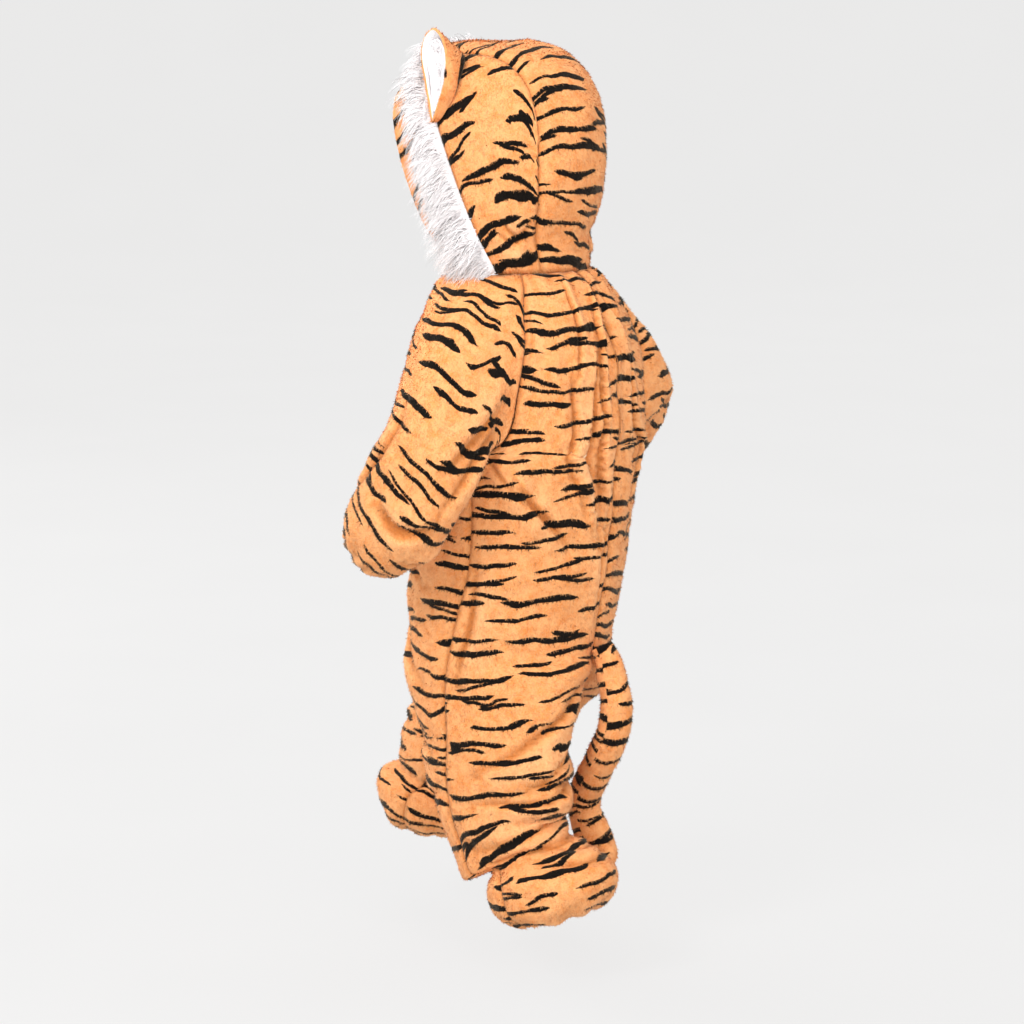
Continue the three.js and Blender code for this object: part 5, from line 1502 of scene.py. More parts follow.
@dataclass
class Sleeves:
    """The two raglan sleeves, elastic at the wrist."""

    wardrobe: Wardrobe
    head_rows: int = 8
    neck_columns: int = 6
    neck_turn: float = 30.0
    fine: tuple[int, int] = (7, 5)
    thickness: float = 2.2
    sink: float = 1.2
    seam_depth: float = 1.9
    seam_width: float = 3.6
    hem_pleats: float = 9.0
    hem_height: float = 1.3
    hem_reach: float = 26.0
    coat: Coat = field(default_factory=lambda: Coat(0.34, 2.9, 1.0, 0.95, 0.24))

    def loop(self, side: int) -> tuple[Numbers, Numbers]:
        """The raglan seams as a closed loop, with the turn of each point."""
        levels = [z for z in TORSO_LEVELS if z >= ARMPIT]

        def seam(face: int, heights: list[float]) -> Numbers:
            """Points of the back or front seam."""
            rows = [torso_points(side, z, np.array([raglan_angle(side, face, z)]))[0] for z in heights]
            return np.stack(rows)

        back, front = seam(1, levels[::-1]), seam(-1, levels)
        arc = np.linspace(raglan_angle(side, 1, 0), raglan_angle(side, -1, 0), self.neck_columns + 1)[1:-1]
        neck = torso_points(side, 0, arc)

        def spread(points: Numbers, start: float, end: float) -> Numbers:
            """Turns in step with the distance along the points."""
            run = np.concatenate([[0], np.cumsum(np.linalg.norm(np.diff(points, axis=0), axis=1))])
            return start + (end - start) * run / run[-1]

        share = np.arange(1, self.neck_columns) / self.neck_columns
        turns = np.concatenate([
            spread(back, 0, 180 - self.neck_turn),
            180 - self.neck_turn + 2 * self.neck_turn * share,
            spread(front, 180 + self.neck_turn, 360)[:-1],
        ])
        return np.concatenate([back, neck, front[:-1]]), turns

    @staticmethod
    def section(side: int, row: tuple[float, ...], turns: Numbers) -> tuple[Numbers, Numbers]:
        """Points of one sleeve section and the direction in which the sleeve runs on."""
        aim = unit(np.array([side * row[5], row[6], row[7]]))
        out = np.array([side, 0.0, 0.0])
        out = unit(out - aim * (out @ aim))
        behind = -side * np.cross(aim, out)
        if behind[1] < 0:
            behind = -behind
        middle = np.array([side * row[0], row[1], row[2]])
        c, s = np.cos(np.radians(turns))[:, None], np.sin(np.radians(turns))[:, None]
        return middle - out * row[3] * c + behind * row[4] * s, aim

    def grid(self, side: int) -> tuple[Numbers, Numbers]:
        """Coarse grid of one sleeve and its print distance along the arm."""
        sections, head = (LEFT_SLEEVE, LEFT_HEAD) if side > 0 else (RIGHT_SLEEVE, RIGHT_HEAD)
        start, turns = self.loop(side)
        first, first_aim = self.section(side, sections[0], turns)
        corners = np.array(head)
        place = (turns / 90) % 4
        low = np.floor(place).astype(int) % 4
        t = place - np.floor(place)
        t = (t * t * (3 - 2 * t))[:, None]
        blend = corners[low] * (1 - t) + corners[(low + 1) % 4] * t
        aim = unit(blend[:, :3] * np.array([side, 1, 1]))
        second = start + aim * blend[:, 3:4]
        third = first - first_aim * blend[:, 4:5]
        rows = []
        for j in range(self.head_rows):
            t = j / self.head_rows
            rows.append(
                (1 - t) ** 3 * start + 3 * (1 - t) ** 2 * t * second
                + 3 * (1 - t) * t * t * third + t**3 * first
            )
        arm = unit(first.mean(axis=0) - np.array(SHOULDER) * np.array([side, 1, 1]))
        reach = (start - first.mean(axis=0)) @ arm
        down = [reach * (1 - j / self.head_rows) for j in range(self.head_rows)]
        run = 0.0
        before = np.array(sections[0][:3])
        for row in sections:
            rows.append(self.section(side, row, turns)[0])
            run += float(np.linalg.norm(np.array(row[:3]) - before)) * ARM_STRETCH
            before = np.array(row[:3])
            down.append(np.full(len(turns), run))
        return np.stack(rows), np.stack(down)

    def creases(self, side: int) -> tuple[Crease, ...]:
        """Creases of one sleeve."""
        if side > 0:
            return (
                Crease(((0.2, 50), (0.27, 90), (0.36, 130)), 7, 2.6),
                Crease(((0.12, 60), (0.2, 110), (0.27, 160)), 7, -2.6),
                Crease(((0.3, 170), (0.4, 185), (0.52, 180)), 6, 2.6),
                Crease(((0.28, 188), (0.4, 204), (0.54, 198)), 6, -2.4),
                Crease(((0.62, 120), (0.7, 160), (0.76, 200)), 7, 2.4),
                Crease(((0.85, 70), (0.9, 110), (0.86, 150)), 7, 2.4),
                Crease(((0.08, 190), (0.18, 205), (0.28, 215)), 6, 2.2),
            )
        return (
            Crease(((0.18, 60), (0.26, 100), (0.34, 140)), 7, 2.6),
            Crease(((0.4, 90), (0.5, 120), (0.58, 150)), 7, -2.4),
            Crease(((0.15, 170), (0.3, 190), (0.45, 185)), 6, 2.4),
            Crease(((0.65, 120), (0.75, 150), (0.85, 165)), 7, 2.4),
        )

    def build(self) -> list[bpy.types.Object]:
        """Makes the two sleeves with their pile.

        Returns:
            The new pieces.
        """
        made = []
        for side, word in ((1, "left"), (-1, "right")):
            grid, down = self.grid(side)
            cloth = Cloth.cut(
                f"sleeve_{word}_plush", grid, self.fine, (side * 150, 0, -130), closed=True, down=down,
                middle=0.4, swing=4 * side, offset=(side * 720, 333 + 61 * side),
            )
            first = np.repeat(cloth.length()[:, None], cloth.points.shape[1], axis=1)
            hem = first[-1, 0] - first
            calm = np.clip(first / 16, 0, 1)
            height, shade = cloth.crease(self.creases(side), calm)
            height += cloth.soften(31 + side, 0.9, 60) * calm + cloth.soften(77 + side, 0.45, 24) * calm
            height -= self.seam_depth * np.exp(-((first / self.seam_width) ** 2))
            turn = cloth.shares()[None, :] * 2 * math.pi
            pleat = np.cos(turn * self.hem_pleats + 1.2 * np.sin(hem / 8) + np.sin(3 * turn))
            gather = pleat * np.exp(-((hem / self.hem_reach) ** 2))
            # Painted shade in crease feet, gather hollows and the seam foot, and painted highlight on ridges
            # and gather tops
            seams = np.exp(-((first / SEAM_PAINTED_SHADE_WIDTH) ** 2))
            cloth.painted_shading = np.clip(shade + GATHER_PAINTED_SHADE * gather - SEAM_PAINTED_SHADE * seams, -1, 1)
            cloth.push(height + gather * self.hem_height - self.sink)
            piece = cloth.shell(self.thickness, self.wardrobe.plush, self.wardrobe.backing)
            pile = cloth.pile(self.coat, self.wardrobe.plush, 61 + side)
            made += declare(cloth, f"sleeve_{word}", piece, pile)
        return made


def hood_level(x: Numbers, y: Numbers, z: Numbers) -> Numbers:
    """1 on the hood's shell and less inside it."""
    low = np.clip(z, 0, TEMPLE)
    half, mid = HOOD.read(low, "half"), HOOD.read(low, "mid")
    depth = np.where(y > mid, HOOD.read(low, "back"), HOOD_FRONT_DEPTH)
    flat = np.hypot(x / half, (y - mid) / depth)
    up = np.maximum(z - TEMPLE, 0) / CROWN_RISE
    return (flat**CROWN_POWER + up**CROWN_POWER) ** (1 / CROWN_POWER)


def hood_at_side(y: Numbers | float, z: Numbers | float) -> Numbers:
    """Points of the left side of the hood's shell at depths and levels."""
    y, z = np.broadcast_arrays(np.asarray(y, dtype=float), np.asarray(z, dtype=float))
    low, high = np.zeros_like(y), np.full_like(y, SIDE_REACH)
    for _ in range(BISECTIONS):
        middle = (low + high) / 2
        within = hood_level(middle, y, z) < 1
        low, high = np.where(within, middle, low), np.where(within, high, middle)
    return np.stack([low, y, z], axis=-1)


def hood_at_angle(x: Numbers, angle: Numbers) -> Numbers:
    """Points of the shell seen from the hood's centre, angles counted from behind, upwards."""
    low, high = np.zeros_like(x), np.full_like(x, CROWN_REACH)
    c, s = np.cos(angle), np.sin(angle)
    for _ in range(BISECTIONS):
        middle = (low + high) / 2
        within = hood_level(x, HOOD_CENTRE[0] + middle * c, HOOD_CENTRE[1] + middle * s) < 1
        low, high = np.where(within, middle, low), np.where(within, high, middle)
    return np.stack([x, HOOD_CENTRE[0] + low * c, HOOD_CENTRE[1] + low * s], axis=-1)


def neck_back(x: Numbers) -> Numbers:
    """Depth of the hood's neck edge behind the gusset."""
    half, back, mid = (float(HOOD.read(0, key)) for key in ("half", "back", "mid"))
    return mid + back * np.sqrt(1 - (x / half) ** 2)


def gusset_points(run: Numbers, share: Numbers) -> Numbers:
    """Points of the gusset: run from the nape to the brow, share from right to left."""
    run, share = np.broadcast_arrays(np.asarray(run, dtype=float), np.asarray(share, dtype=float))
    x = share * GUSSET.read(run, "half")
    start = np.arctan2(-HOOD_CENTRE[1], neck_back(x) - HOOD_CENTRE[0])
    end = np.full_like(x, math.pi * GUSSET_END)
    for _ in range(GUSSET_STEPS):
        p = hood_at_angle(x, end)
        end = end + (p[..., 1] - FACE_SEAM_Y - FACE_SEAM_SLOPE * p[..., 2]) / GUSSET_STEP_RADIUS
    points = hood_at_angle(x, start + (end - start) * run)
    foot = np.stack([x, neck_back(x), np.zeros_like(x)], axis=-1)
    return np.where((run == 0)[..., None], foot, points)


def mirrored(points: Numbers) -> Numbers:
    """The points on the other side of the wearer."""
    return points * np.array([-1.0, 1.0, 1.0])


@dataclass(frozen=True)
class Strands:
    """Long silky strands, in locks that share a tip."""

    seed: int = 5
    locks: int = 1300
    each: int = 10
    steps: int = 5
    length: float = 35.0
    width: float = 0.9
    lock_lengths: tuple[float, float] = (0.7, 1.2)
    lengths: tuple[float, float] = (0.75, 1.1)
    widths: tuple[float, float] = (0.6, 1.1)
    sway: float = 0.25
    scatter: float = 2.6
    root_depth: float = 1.5
    start_lift: float = 0.6
    start_onward: float = 0.95
    stray: float = 0.16
    end_lift: float = 0.05
    end_onward: float = 0.6
    end_fall: float = 0.95
    gather: float = 0.75
    gather_power: float = 1.5
    wave: float = 1.1
    wave_turn: float = 5.0
    twist: float = 0.4
    taper: float = 0.92
    shading: float = 0.24


@dataclass
class Hood:
    """Three-panel hood with its fur ring and the striped band round the face."""

    wardrobe: Wardrobe
    gusset_rows: int = 19
    gusset_columns: int = 8
    corner_row: int = 9
    thickness: float = 2.2
    sink: float = 1.2
    seam_depth: float = 2.2
    seam_width: float = 3.4
    fur_lift: float = 5.0
    neck_lap: float = 1.7
    neck_reach: float = 3.0
    strands: Strands = field(default_factory=Strands)
    coat: Coat = field(default_factory=lambda: Coat(0.36, 2.9, 1.0, 0.95, 0.24))
    up_coat: Coat = field(default_factory=lambda: Coat(0.36, 2.9, 1.0, 0.95, 0.24, -1.0))

    def seam(self) -> Numbers:
        """The left seam between the gusset and a side panel, from the nape."""
        return gusset_points(np.arange(self.gusset_rows + 1) / self.gusset_rows, 1.0)

    def face_seam(self, share: float) -> Numbers:
        """A point of the fur seam on the left side, by its share of the height."""
        brow = self.seam()[-1]
        if share >= 1:
            return brow
        z = float(brow[2]) * share
        return hood_at_side(FACE_SEAM_Y + FACE_SEAM_SLOPE * z, z)

    def side_grid(self) -> Numbers:
        """Coarse grid of the left side panel, from its four edges."""
        half, back, mid = (float(HOOD.read(0, key)) for key in ("half", "back", "mid"))
        seam = self.seam()
        rows, columns = self.corner_row, self.gusset_rows - self.corner_row
        foot, nape = math.asin((FACE_SEAM_Y - mid) / back), math.acos(float(seam[0, 0]) / half)
        u = np.arange(columns + 1)[None, :, None] / columns
        v = np.arange(rows + 1)[:, None, None] / rows
        angle = foot + (nape - foot) * u[0, :, 0]
        arc = half * np.cos(angle), mid + back * np.sin(angle), np.zeros_like(angle)
        bottom = np.stack(arc, axis=1)[None]
        top = seam[self.gusset_rows - columns:][::-1][None]
        left = np.stack([self.face_seam(float(share)) for share in v[:, 0, 0]])[:, None]
        right = seam[:rows + 1][:, None]
        foot_point = np.array([0.0, FACE_SEAM_Y, 0.0])
        wanted = (
            left * (1 - u) + right * u + bottom * (1 - v) + top * v
            - (1 - u) * (1 - v) * foot_point - u * (1 - v) * seam[0]
            - (1 - u) * v * seam[-1] - u * v * seam[self.corner_row]
        )
        grid = hood_at_side(wanted[..., 1], wanted[..., 2])
        grid[0] = bottom[0]
        grid[-1] = top[0]
        grid[1:-1, 0] = left[1:-1, 0]
        grid[1:-1, -1] = right[1:-1, 0]
        return grid

    def gusset_grid(self) -> Numbers:
        """Coarse grid of the gusset."""
        run = np.arange(self.gusset_rows + 1)[:, None] / self.gusset_rows
        share = 2 * np.arange(self.gusset_columns + 1)[None, :] / self.gusset_columns - 1
        return gusset_points(run, share)

    @staticmethod
    def both(left: Numbers) -> Numbers:
        """A line round the face, from its left half."""
        left[-1, 0] = 0
        return np.concatenate([left, mirrored(left[:-1])[::-1]])

    def fur_seam(self) -> Numbers:
        """The seam behind the fur, from the left of the neck over the brow to the right."""
        points = []
        brow_x = float(self.seam()[-1, 0])
        for j in range(FACE_ROWS + 1):
            share = j / FACE_ROWS * FUR_SEAM_RUN
            if share < 1:
                points.append(self.face_seam(share))
            else:
                bend = 1 / FUR_SEAM_RUN
                x = brow_x * (1 - (j / FACE_ROWS - bend) / (1 - bend))
                points.append(gusset_points(1.0, x / float(GUSSET.read(1, "half"))))
        return self.both(np.stack(points))

    def face_line(self, rows: tuple[tuple[float, float, float], ...]) -> Numbers:
        """A line round the face, from the points of its left half."""
        left = spaced_curve(rows, False, FACE_ROWS)
        left[0, 2] = 0
        return self.both(left)

    @staticmethod
    def ring(a: Numbers, b: Numbers, steps: int, lift: float) -> Numbers:
        """Coarse grid between two lines round the face, bulging by lift."""
        t = (np.arange(steps + 1) / steps)[None, :, None]
        points = a[:, None] * (1 - t) + b[:, None] * t
        level = points[..., 2] - HOOD_CENTRE[1]
        axis = unit(np.stack([points[..., 0], np.zeros(points.shape[:2]), level], axis=-1))
        axis[..., 2] *= np.where(points[..., 2] < HOOD_CENTRE[1], 0.3, 1.0)
        axis[0, :, 2] = 0
        axis[-1, :, 2] = 0
        return points + unit(axis) * lift * np.sin(math.pi * t)

    @staticmethod
    def creases() -> tuple[Crease, ...]:
        """Creases of a side panel, which gather over the neck."""
        return (
            Crease(((0.3, 34), (0.5, 22), (0.7, 30)), 5, 1.8),
            Crease(((0.25, 15), (0.45, 10), (0.68, 14)), 4, -1.8),
            Crease(((0.45, 50), (0.6, 40), (0.76, 50)), 5, -1.6),
        )

    def finish(
        self,
        cloth: Cloth,
        seed: int,
        borders: tuple[bool, bool, bool, bool],
        creases: tuple[Crease, ...] = (),
    ) -> None:
        """Gives a hood panel its seams, creases and soft swells."""
        edges = cloth.border()
        nearest = np.full(cloth.points.shape[:2], 1e3)
        for sewn, distance in zip(borders, edges):
            if sewn:
                nearest = np.minimum(nearest, distance)
        calm = np.clip(nearest / 14, 0, 1)
        height = (cloth.soften(seed, 0.8, 60) + cloth.soften(seed + 40, 0.4, 22)) * calm
        height -= self.seam_depth * np.exp(-((nearest / self.seam_width) ** 2))
        folded, shade = cloth.crease(creases, calm)
        # Painted shade in crease feet and seam feet, and painted highlight on ridges
        seams = np.exp(-((nearest / SEAM_PAINTED_SHADE_WIDTH) ** 2))
        cloth.painted_shading = np.clip(shade - SEAM_PAINTED_SHADE * seams, -1, 1)
        cloth.push(height + folded - self.sink)
        above = np.maximum(cloth.points[..., 2], 0.0)
        cloth.points[..., 2] -= self.neck_lap * np.exp(-above / self.neck_reach)

    def fur(self, cloth: Cloth) -> bpy.types.Object:
        """Makes the long silky strands, in locks that share a tip.

        Args:
            cloth: The ring that they stand on.

        Returns:
            The new piece.
        """
        form = self.strands
        rng = np.random.default_rng(form.seed)
        base, normal, _, across, _, _ = cloth.roots(form.locks, rng)
        forward = unit(across * np.sign(-across[:, 1:2]))
        fall = np.array([0.0, 0.0, -1.0])
        count, steps = form.locks * form.each, form.steps
        lock = np.repeat(np.arange(form.locks), form.each)
        long = form.length * rng.uniform(*form.lock_lengths, form.locks)[lock]
        long = long * rng.uniform(*form.lengths, count)
        sway = rng.normal(size=(form.locks, 3)) * form.sway
        scatter = rng.normal(size=(count, 3)) * form.scatter
        scatter -= normal[lock] * (scatter * normal[lock]).sum(axis=1, keepdims=True)
        root = base[lock] + scatter - normal[lock] * form.root_depth
        start = normal[lock] * form.start_lift + forward[lock] * form.start_onward + sway[lock]
        start = unit(start + rng.normal(size=(count, 3)) * form.stray)
        end = forward[lock] * form.end_onward + fall * form.end_fall
        end = unit(end + normal[lock] * form.end_lift + sway[lock])
        t = np.linspace(0, 1, steps + 1)[None, :, None]
        reach = long[:, None, None]
        pull = -scatter[:, None] * form.gather * t**form.gather_power
        path = root[:, None] + reach * (start[:, None] * (t - t * t / 2) + end[:, None] * t * t / 2) + pull
        path = path + rng.normal(size=(count, 1, 3)) * form.wave * np.sin(t * form.wave_turn) * t
        side = unit(np.cross(start, normal[lock]) + rng.normal(size=(count, 3)) * form.twist)[:, None]
        half = form.width / 2 * (1 - t**2 * form.taper) * rng.uniform(*form.widths, (count, 1, 1))
        ribbon = np.stack([path - side * half, path + side * half], axis=2)
        vertices = ribbon.reshape(-1, 3)
        first = np.arange(count)[:, None] * 2 * (steps + 1) + 2 * np.arange(steps)[None, :]
        first = first.ravel()
        faces = np.stack([first, first + 1, first + 3, first + 2], axis=1)
        made = new_object("hood_fur_strands", vertices, faces, [self.wardrobe.fur])
        tip = np.repeat(np.broadcast_to(t[:, :, 0], (count, steps + 1)).ravel(), 2)
        fill_attribute(made.data, "tip", tip)
        shading = unit(normal[lock] + rng.normal(size=(count, 3)) * form.shading)
        shading = np.repeat(shading, 2 * (steps + 1), axis=0)
        made.data.normals_split_custom_set_from_vertices(shading.tolist())
        return made

    def build(self) -> list[bpy.types.Object]:
        """Makes the hood's panels, the band and the fur.

        Returns:
            The new pieces.
        """
        wardrobe = self.wardrobe
        side = self.side_grid()
        centre = (0, HOOD_CENTRE[0], HOOD_CENTRE[1])
        panels = (
            ("hood_gusset", self.gusset_grid(), (6, 6), 0.5, -9, (1310, 77)),
            ("hood_side_left", side, (7, 7), 0.0, -24, (1555, 208)),
            ("hood_side_right", mirrored(side), (7, 7), 0.0, -20, (1790, 391)),
        )
        made = []
        for seed, (name, grid, fine, middle, swing, offset) in enumerate(panels):
            cloth = Cloth.cut(
                f"{name}_plush", grid, fine, centre, middle=middle, swing=swing, offset=offset
            )
            folds = self.creases() if seed else ()
            self.finish(cloth, 90 + seed, (True, True, True, True), folds)
            piece = cloth.shell(self.thickness, wardrobe.plush, wardrobe.backing)
            pile = cloth.pile(self.up_coat, wardrobe.plush, 120 + seed)
            made += declare(cloth, name, piece, pile)
        fur_front = self.face_line(FUR_FRONT)
        fur_ring = self.ring(self.fur_seam(), fur_front, 5, self.fur_lift)
        fur = Cloth.cut("hood_fur_base", fur_ring, (4, 4), centre)
        self.finish(fur, 95, (False, False, True, True))
        base = fur.shell(self.thickness, wardrobe.fur, wardrobe.backing)
        made += declare(fur, "hood_fur_trim", base, self.fur(fur))
        band = Cloth.cut(
            "hood_front_band_plush", self.ring(fur_front, self.face_line(FACE_RIM), 3, 2), (4, 7), centre,
            swing=14, offset=(2010, 520),
        )
        self.finish(band, 96, (False, False, True, False))
        piece = band.shell(self.thickness, wardrobe.plush, wardrobe.backing)
        pile = band.pile(self.coat, wardrobe.plush, 131)
        made += declare(band, "hood_front_band", piece, pile)
        return made


@dataclass
class Ears:
    """Two round ears: a striped back that flares from the hood and a white hollow."""

    wardrobe: Wardrobe
    columns: int = 24
    wall_rows: tuple[float, ...] = (0, 0.3, 0.62, 0.88, 1)
    dish_rows: tuple[float, ...] = (0.87, 0.76, 0.58, 0.35, 0.14, 0.02)
    belly: float = 3.0
    dish: float = 7.0
    dish_top: float = 0.5
    dish_inset: float = 6.0
    dish_clear: float = 4.2
    shell_top: float = 200.0
    right_drop: float = 26.0
    gap: float = 0.5
    thickness: float = 2.4
    lining_thickness: float = 2.0
    coat: Coat = field(default_factory=lambda: Coat(0.5, 2.8, 1.0, 0.9))
    soft_coat: Coat = field(default_factory=lambda: Coat(0.7, 2.4, 0.9, 0.7))

    def grids(self, drop: float) -> tuple[Numbers, Numbers, Numbers]:
        """Coarse grids of the wall and the hollow, and the way that the ear faces.

        Args:
            drop: How much lower the ear sits than the left one.

        Returns:
            Wall, hollow and direction, for an ear on the left.
        """
        def lowered(y: Numbers, z: Numbers) -> tuple[Numbers, Numbers]:
            """Depth and level of a point once the ear has moved down."""
            return y - FACE_SEAM_SLOPE * drop, z - drop

        rim = np.array(EAR_RIM, dtype=float)
        y, z = lowered(rim[:, 1], rim[:, 2])
        wider = hood_at_side(y, np.minimum(z, self.shell_top))[:, 0]
        wider -= hood_at_side(rim[:, 1], np.minimum(rim[:, 2], self.shell_top))[:, 0]
        rim = np.stack([rim[:, 0] + wider, y, z], axis=1)
        base_y, base_z = lowered(*np.array(EAR_BASE, dtype=float).T)
        base = hood_at_side(base_y, base_z)
        ahead = hood_at_side(base_y - 1, base_z) - base
        above = hood_at_side(base_y, base_z + 1) - base
        base = base + unit(np.cross(above, ahead)) * self.gap
        rim_loop = spaced_curve(tuple(map(tuple, rim)), True, self.columns)
        base_loop = spaced_curve(tuple(map(tuple, base)), True, self.columns)
        centre = rim_loop.mean(axis=0)
        facing = unit(np.cross(rim_loop[0] - centre, rim_loop[self.columns // 4] - centre))
        facing = facing if facing[0] > 0 else -facing
        away = unit(rim_loop - centre)
        wall = np.stack([
            base_loop * (1 - t) + rim_loop * t
            + away * (self.belly * np.maximum(away[:, 1:2], 0) * math.sin(math.pi * t))
            for t in self.wall_rows
        ])
        shelf = rim_loop - away * self.dish_inset
        dish = []
        for r in self.dish_rows:
            point = centre * (1 - r) + shelf * r - facing * (self.dish * (1 - r * r) + self.dish_top)
            shell = hood_at_side(point[:, 1], point[:, 2])[:, 0]
            point[:, 0] = np.maximum(point[:, 0], shell + self.dish_clear)
            dish.append(point)
        return wall, np.stack(dish), facing

    def build(self) -> list[bpy.types.Object]:
        """Makes both ears.

        Returns:
            The new pieces.
        """
        made = []
        wardrobe = self.wardrobe
        for side, word, drop in ((1, "left", 0.0), (-1, "right", self.right_drop)):
            wall, dish, facing = self.grids(drop)
            centre = wall[-1].mean(axis=0)
            back = centre - facing * 40
            if side < 0:
                wall, dish, centre, back = mirrored(wall), mirrored(dish), mirrored(centre), mirrored(back)
            outer = Cloth.cut(
                f"ear_{word}_back", wall, (5, 3), tuple(wall.mean(axis=(0, 1))), closed=True,
                middle=0.0, swing=0, offset=(2300 + side * 90, 15 * side),
            )
            outer.push(outer.soften(140 + side, 0.5, 30) - 0.4)
            shell = hood_at_side(outer.points[..., 1], outer.points[..., 2])[..., 0] + self.gap
            outer.points[..., 0] = side * np.maximum(side * outer.points[..., 0], shell)
            piece = outer.shell(self.thickness, wardrobe.plush, wardrobe.white)
            pile = outer.pile(self.coat, wardrobe.plush, 150 + side)
            made += declare(outer, f"ear_{word}_outer", piece, pile)
            inner = Cloth.cut(f"ear_{word}_lining", dish, (4, 3), tuple(back), closed=True)
            inner.push(inner.soften(145 + side, 0.6, 16))
            lining = inner.shell(self.lining_thickness, wardrobe.white, wardrobe.white)
            fluff = inner.pile(self.soft_coat, wardrobe.white, 155 + side)
            made += declare(inner, f"ear_{word}_inner", lining, fluff)
        return made


@dataclass
class Tail:
    """A stuffed tube sewn into the centre back seam, with stripes across it."""

    wardrobe: Wardrobe
    sides: int = 36
    steps: int = 8
    tip_drop: float = 3.5
    cap_rows: tuple[float, ...] = (0.35, 0.7, 0.93)
    cap_bulge: float = 3.0
    cap_turn: float = 3.0
    lids: tuple[float, float] = (2600.0, 2650.0)
    coat: Coat = field(default_factory=lambda: Coat(0.4, 3.2, 1.1, 1.0))

    def build(self) -> list[bpy.types.Object]:
        """Makes the tail and its pile.

        Returns:
            The new pieces.
        """
        path = refine(np.array(TAIL_PATH, dtype=float)[:, None, :], self.steps, 0, False)[:, 0]
        aim = unit(np.gradient(path[:, :3], axis=0))
        out = unit(np.array([1.0, 0, 0]) - aim * aim[:, :1])
        up = np.cross(out, aim)
        turn = np.arange(self.sides) * 2 * math.pi / self.sides
        radius = path[:, 3:4] - 1.0
        points = (
            path[:, None, :3]
            + out[:, None] * (radius * np.cos(turn))[..., None]
            + up[:, None] * (radius * np.sin(turn))[..., None]
        )
        closing = points[-1].mean(axis=0) + np.array([0, 0, -self.tip_drop])
        cap = []
        for t in self.cap_rows:
            bulge = np.array([0, 0, -self.cap_bulge * math.sin(t * self.cap_turn)])
            cap.append(points[-1] * (1 - t) + closing * t + bulge)
        points = np.concatenate([points, np.stack(cap)])
        tube = Cloth.cut(
            "tail_plush", points, (1, 1), (0, 95, -470), closed=True, middle=0.25, offset=(2600, 60)
        )
        middle = tube.points.mean(axis=1, keepdims=True)
        normal = unit(tube.points - middle)
        swell = tube.soften(170, 0.8, 34)
        tube.points = tube.points + normal * swell[..., None]
        rows, columns = tube.points.shape[:2]
        j, i = np.meshgrid(np.arange(rows - 1), np.arange(columns), indexing="ij")
        j, i = j.ravel(), i.ravel()
        k = (i + 1) % columns
        upper, lower = j * columns, (j + 1) * columns
        quad = np.stack([upper + i, lower + i, lower + k, upper + k], axis=1)
        places = (j, i), (j + 1, i), (j + 1, i + 1), (j, i + 1)
        chart = [np.stack([tube.across[spot], tube.down[spot]], axis=1) for spot in places]
        ends = [tuple(range(columns)), tuple(range((rows - 1) * columns, rows * columns))[::-1]]
        faces = [tuple(face) for face in quad.tolist()] + ends
        made = new_object("tail_plush", tube.points.reshape(-1, 3), faces, [self.wardrobe.plush])
        corners = np.stack(chart, axis=1).reshape(-1, 2)
        lids = np.concatenate([np.full((columns, 2), place) for place in self.lids])
        fill_layer(made.data, "print", np.concatenate([corners, lids]) * MM)
        made.data.validate()
        pile = tube_pile(tube, normal, self.coat, self.wardrobe.plush)
        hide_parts("tail")
        return [ride(made), ride(pile)]


def tube_pile(tube: Cloth, normal: Numbers, coat: Coat, material: bpy.types.Material) -> bpy.types.Object:
    """Makes the pile of a tube whose own normals are given by its section."""
    tube.inside = tuple(tube.points.mean(axis=(0, 1)))
    down, across = tube.steps()
    if float((np.cross(across, down) * normal).sum()) < 0:
        tube.normals = lambda: unit(np.cross(down, across))
    else:
        tube.normals = lambda: unit(np.cross(across, down))
    return tube.pile(coat, material, 171)


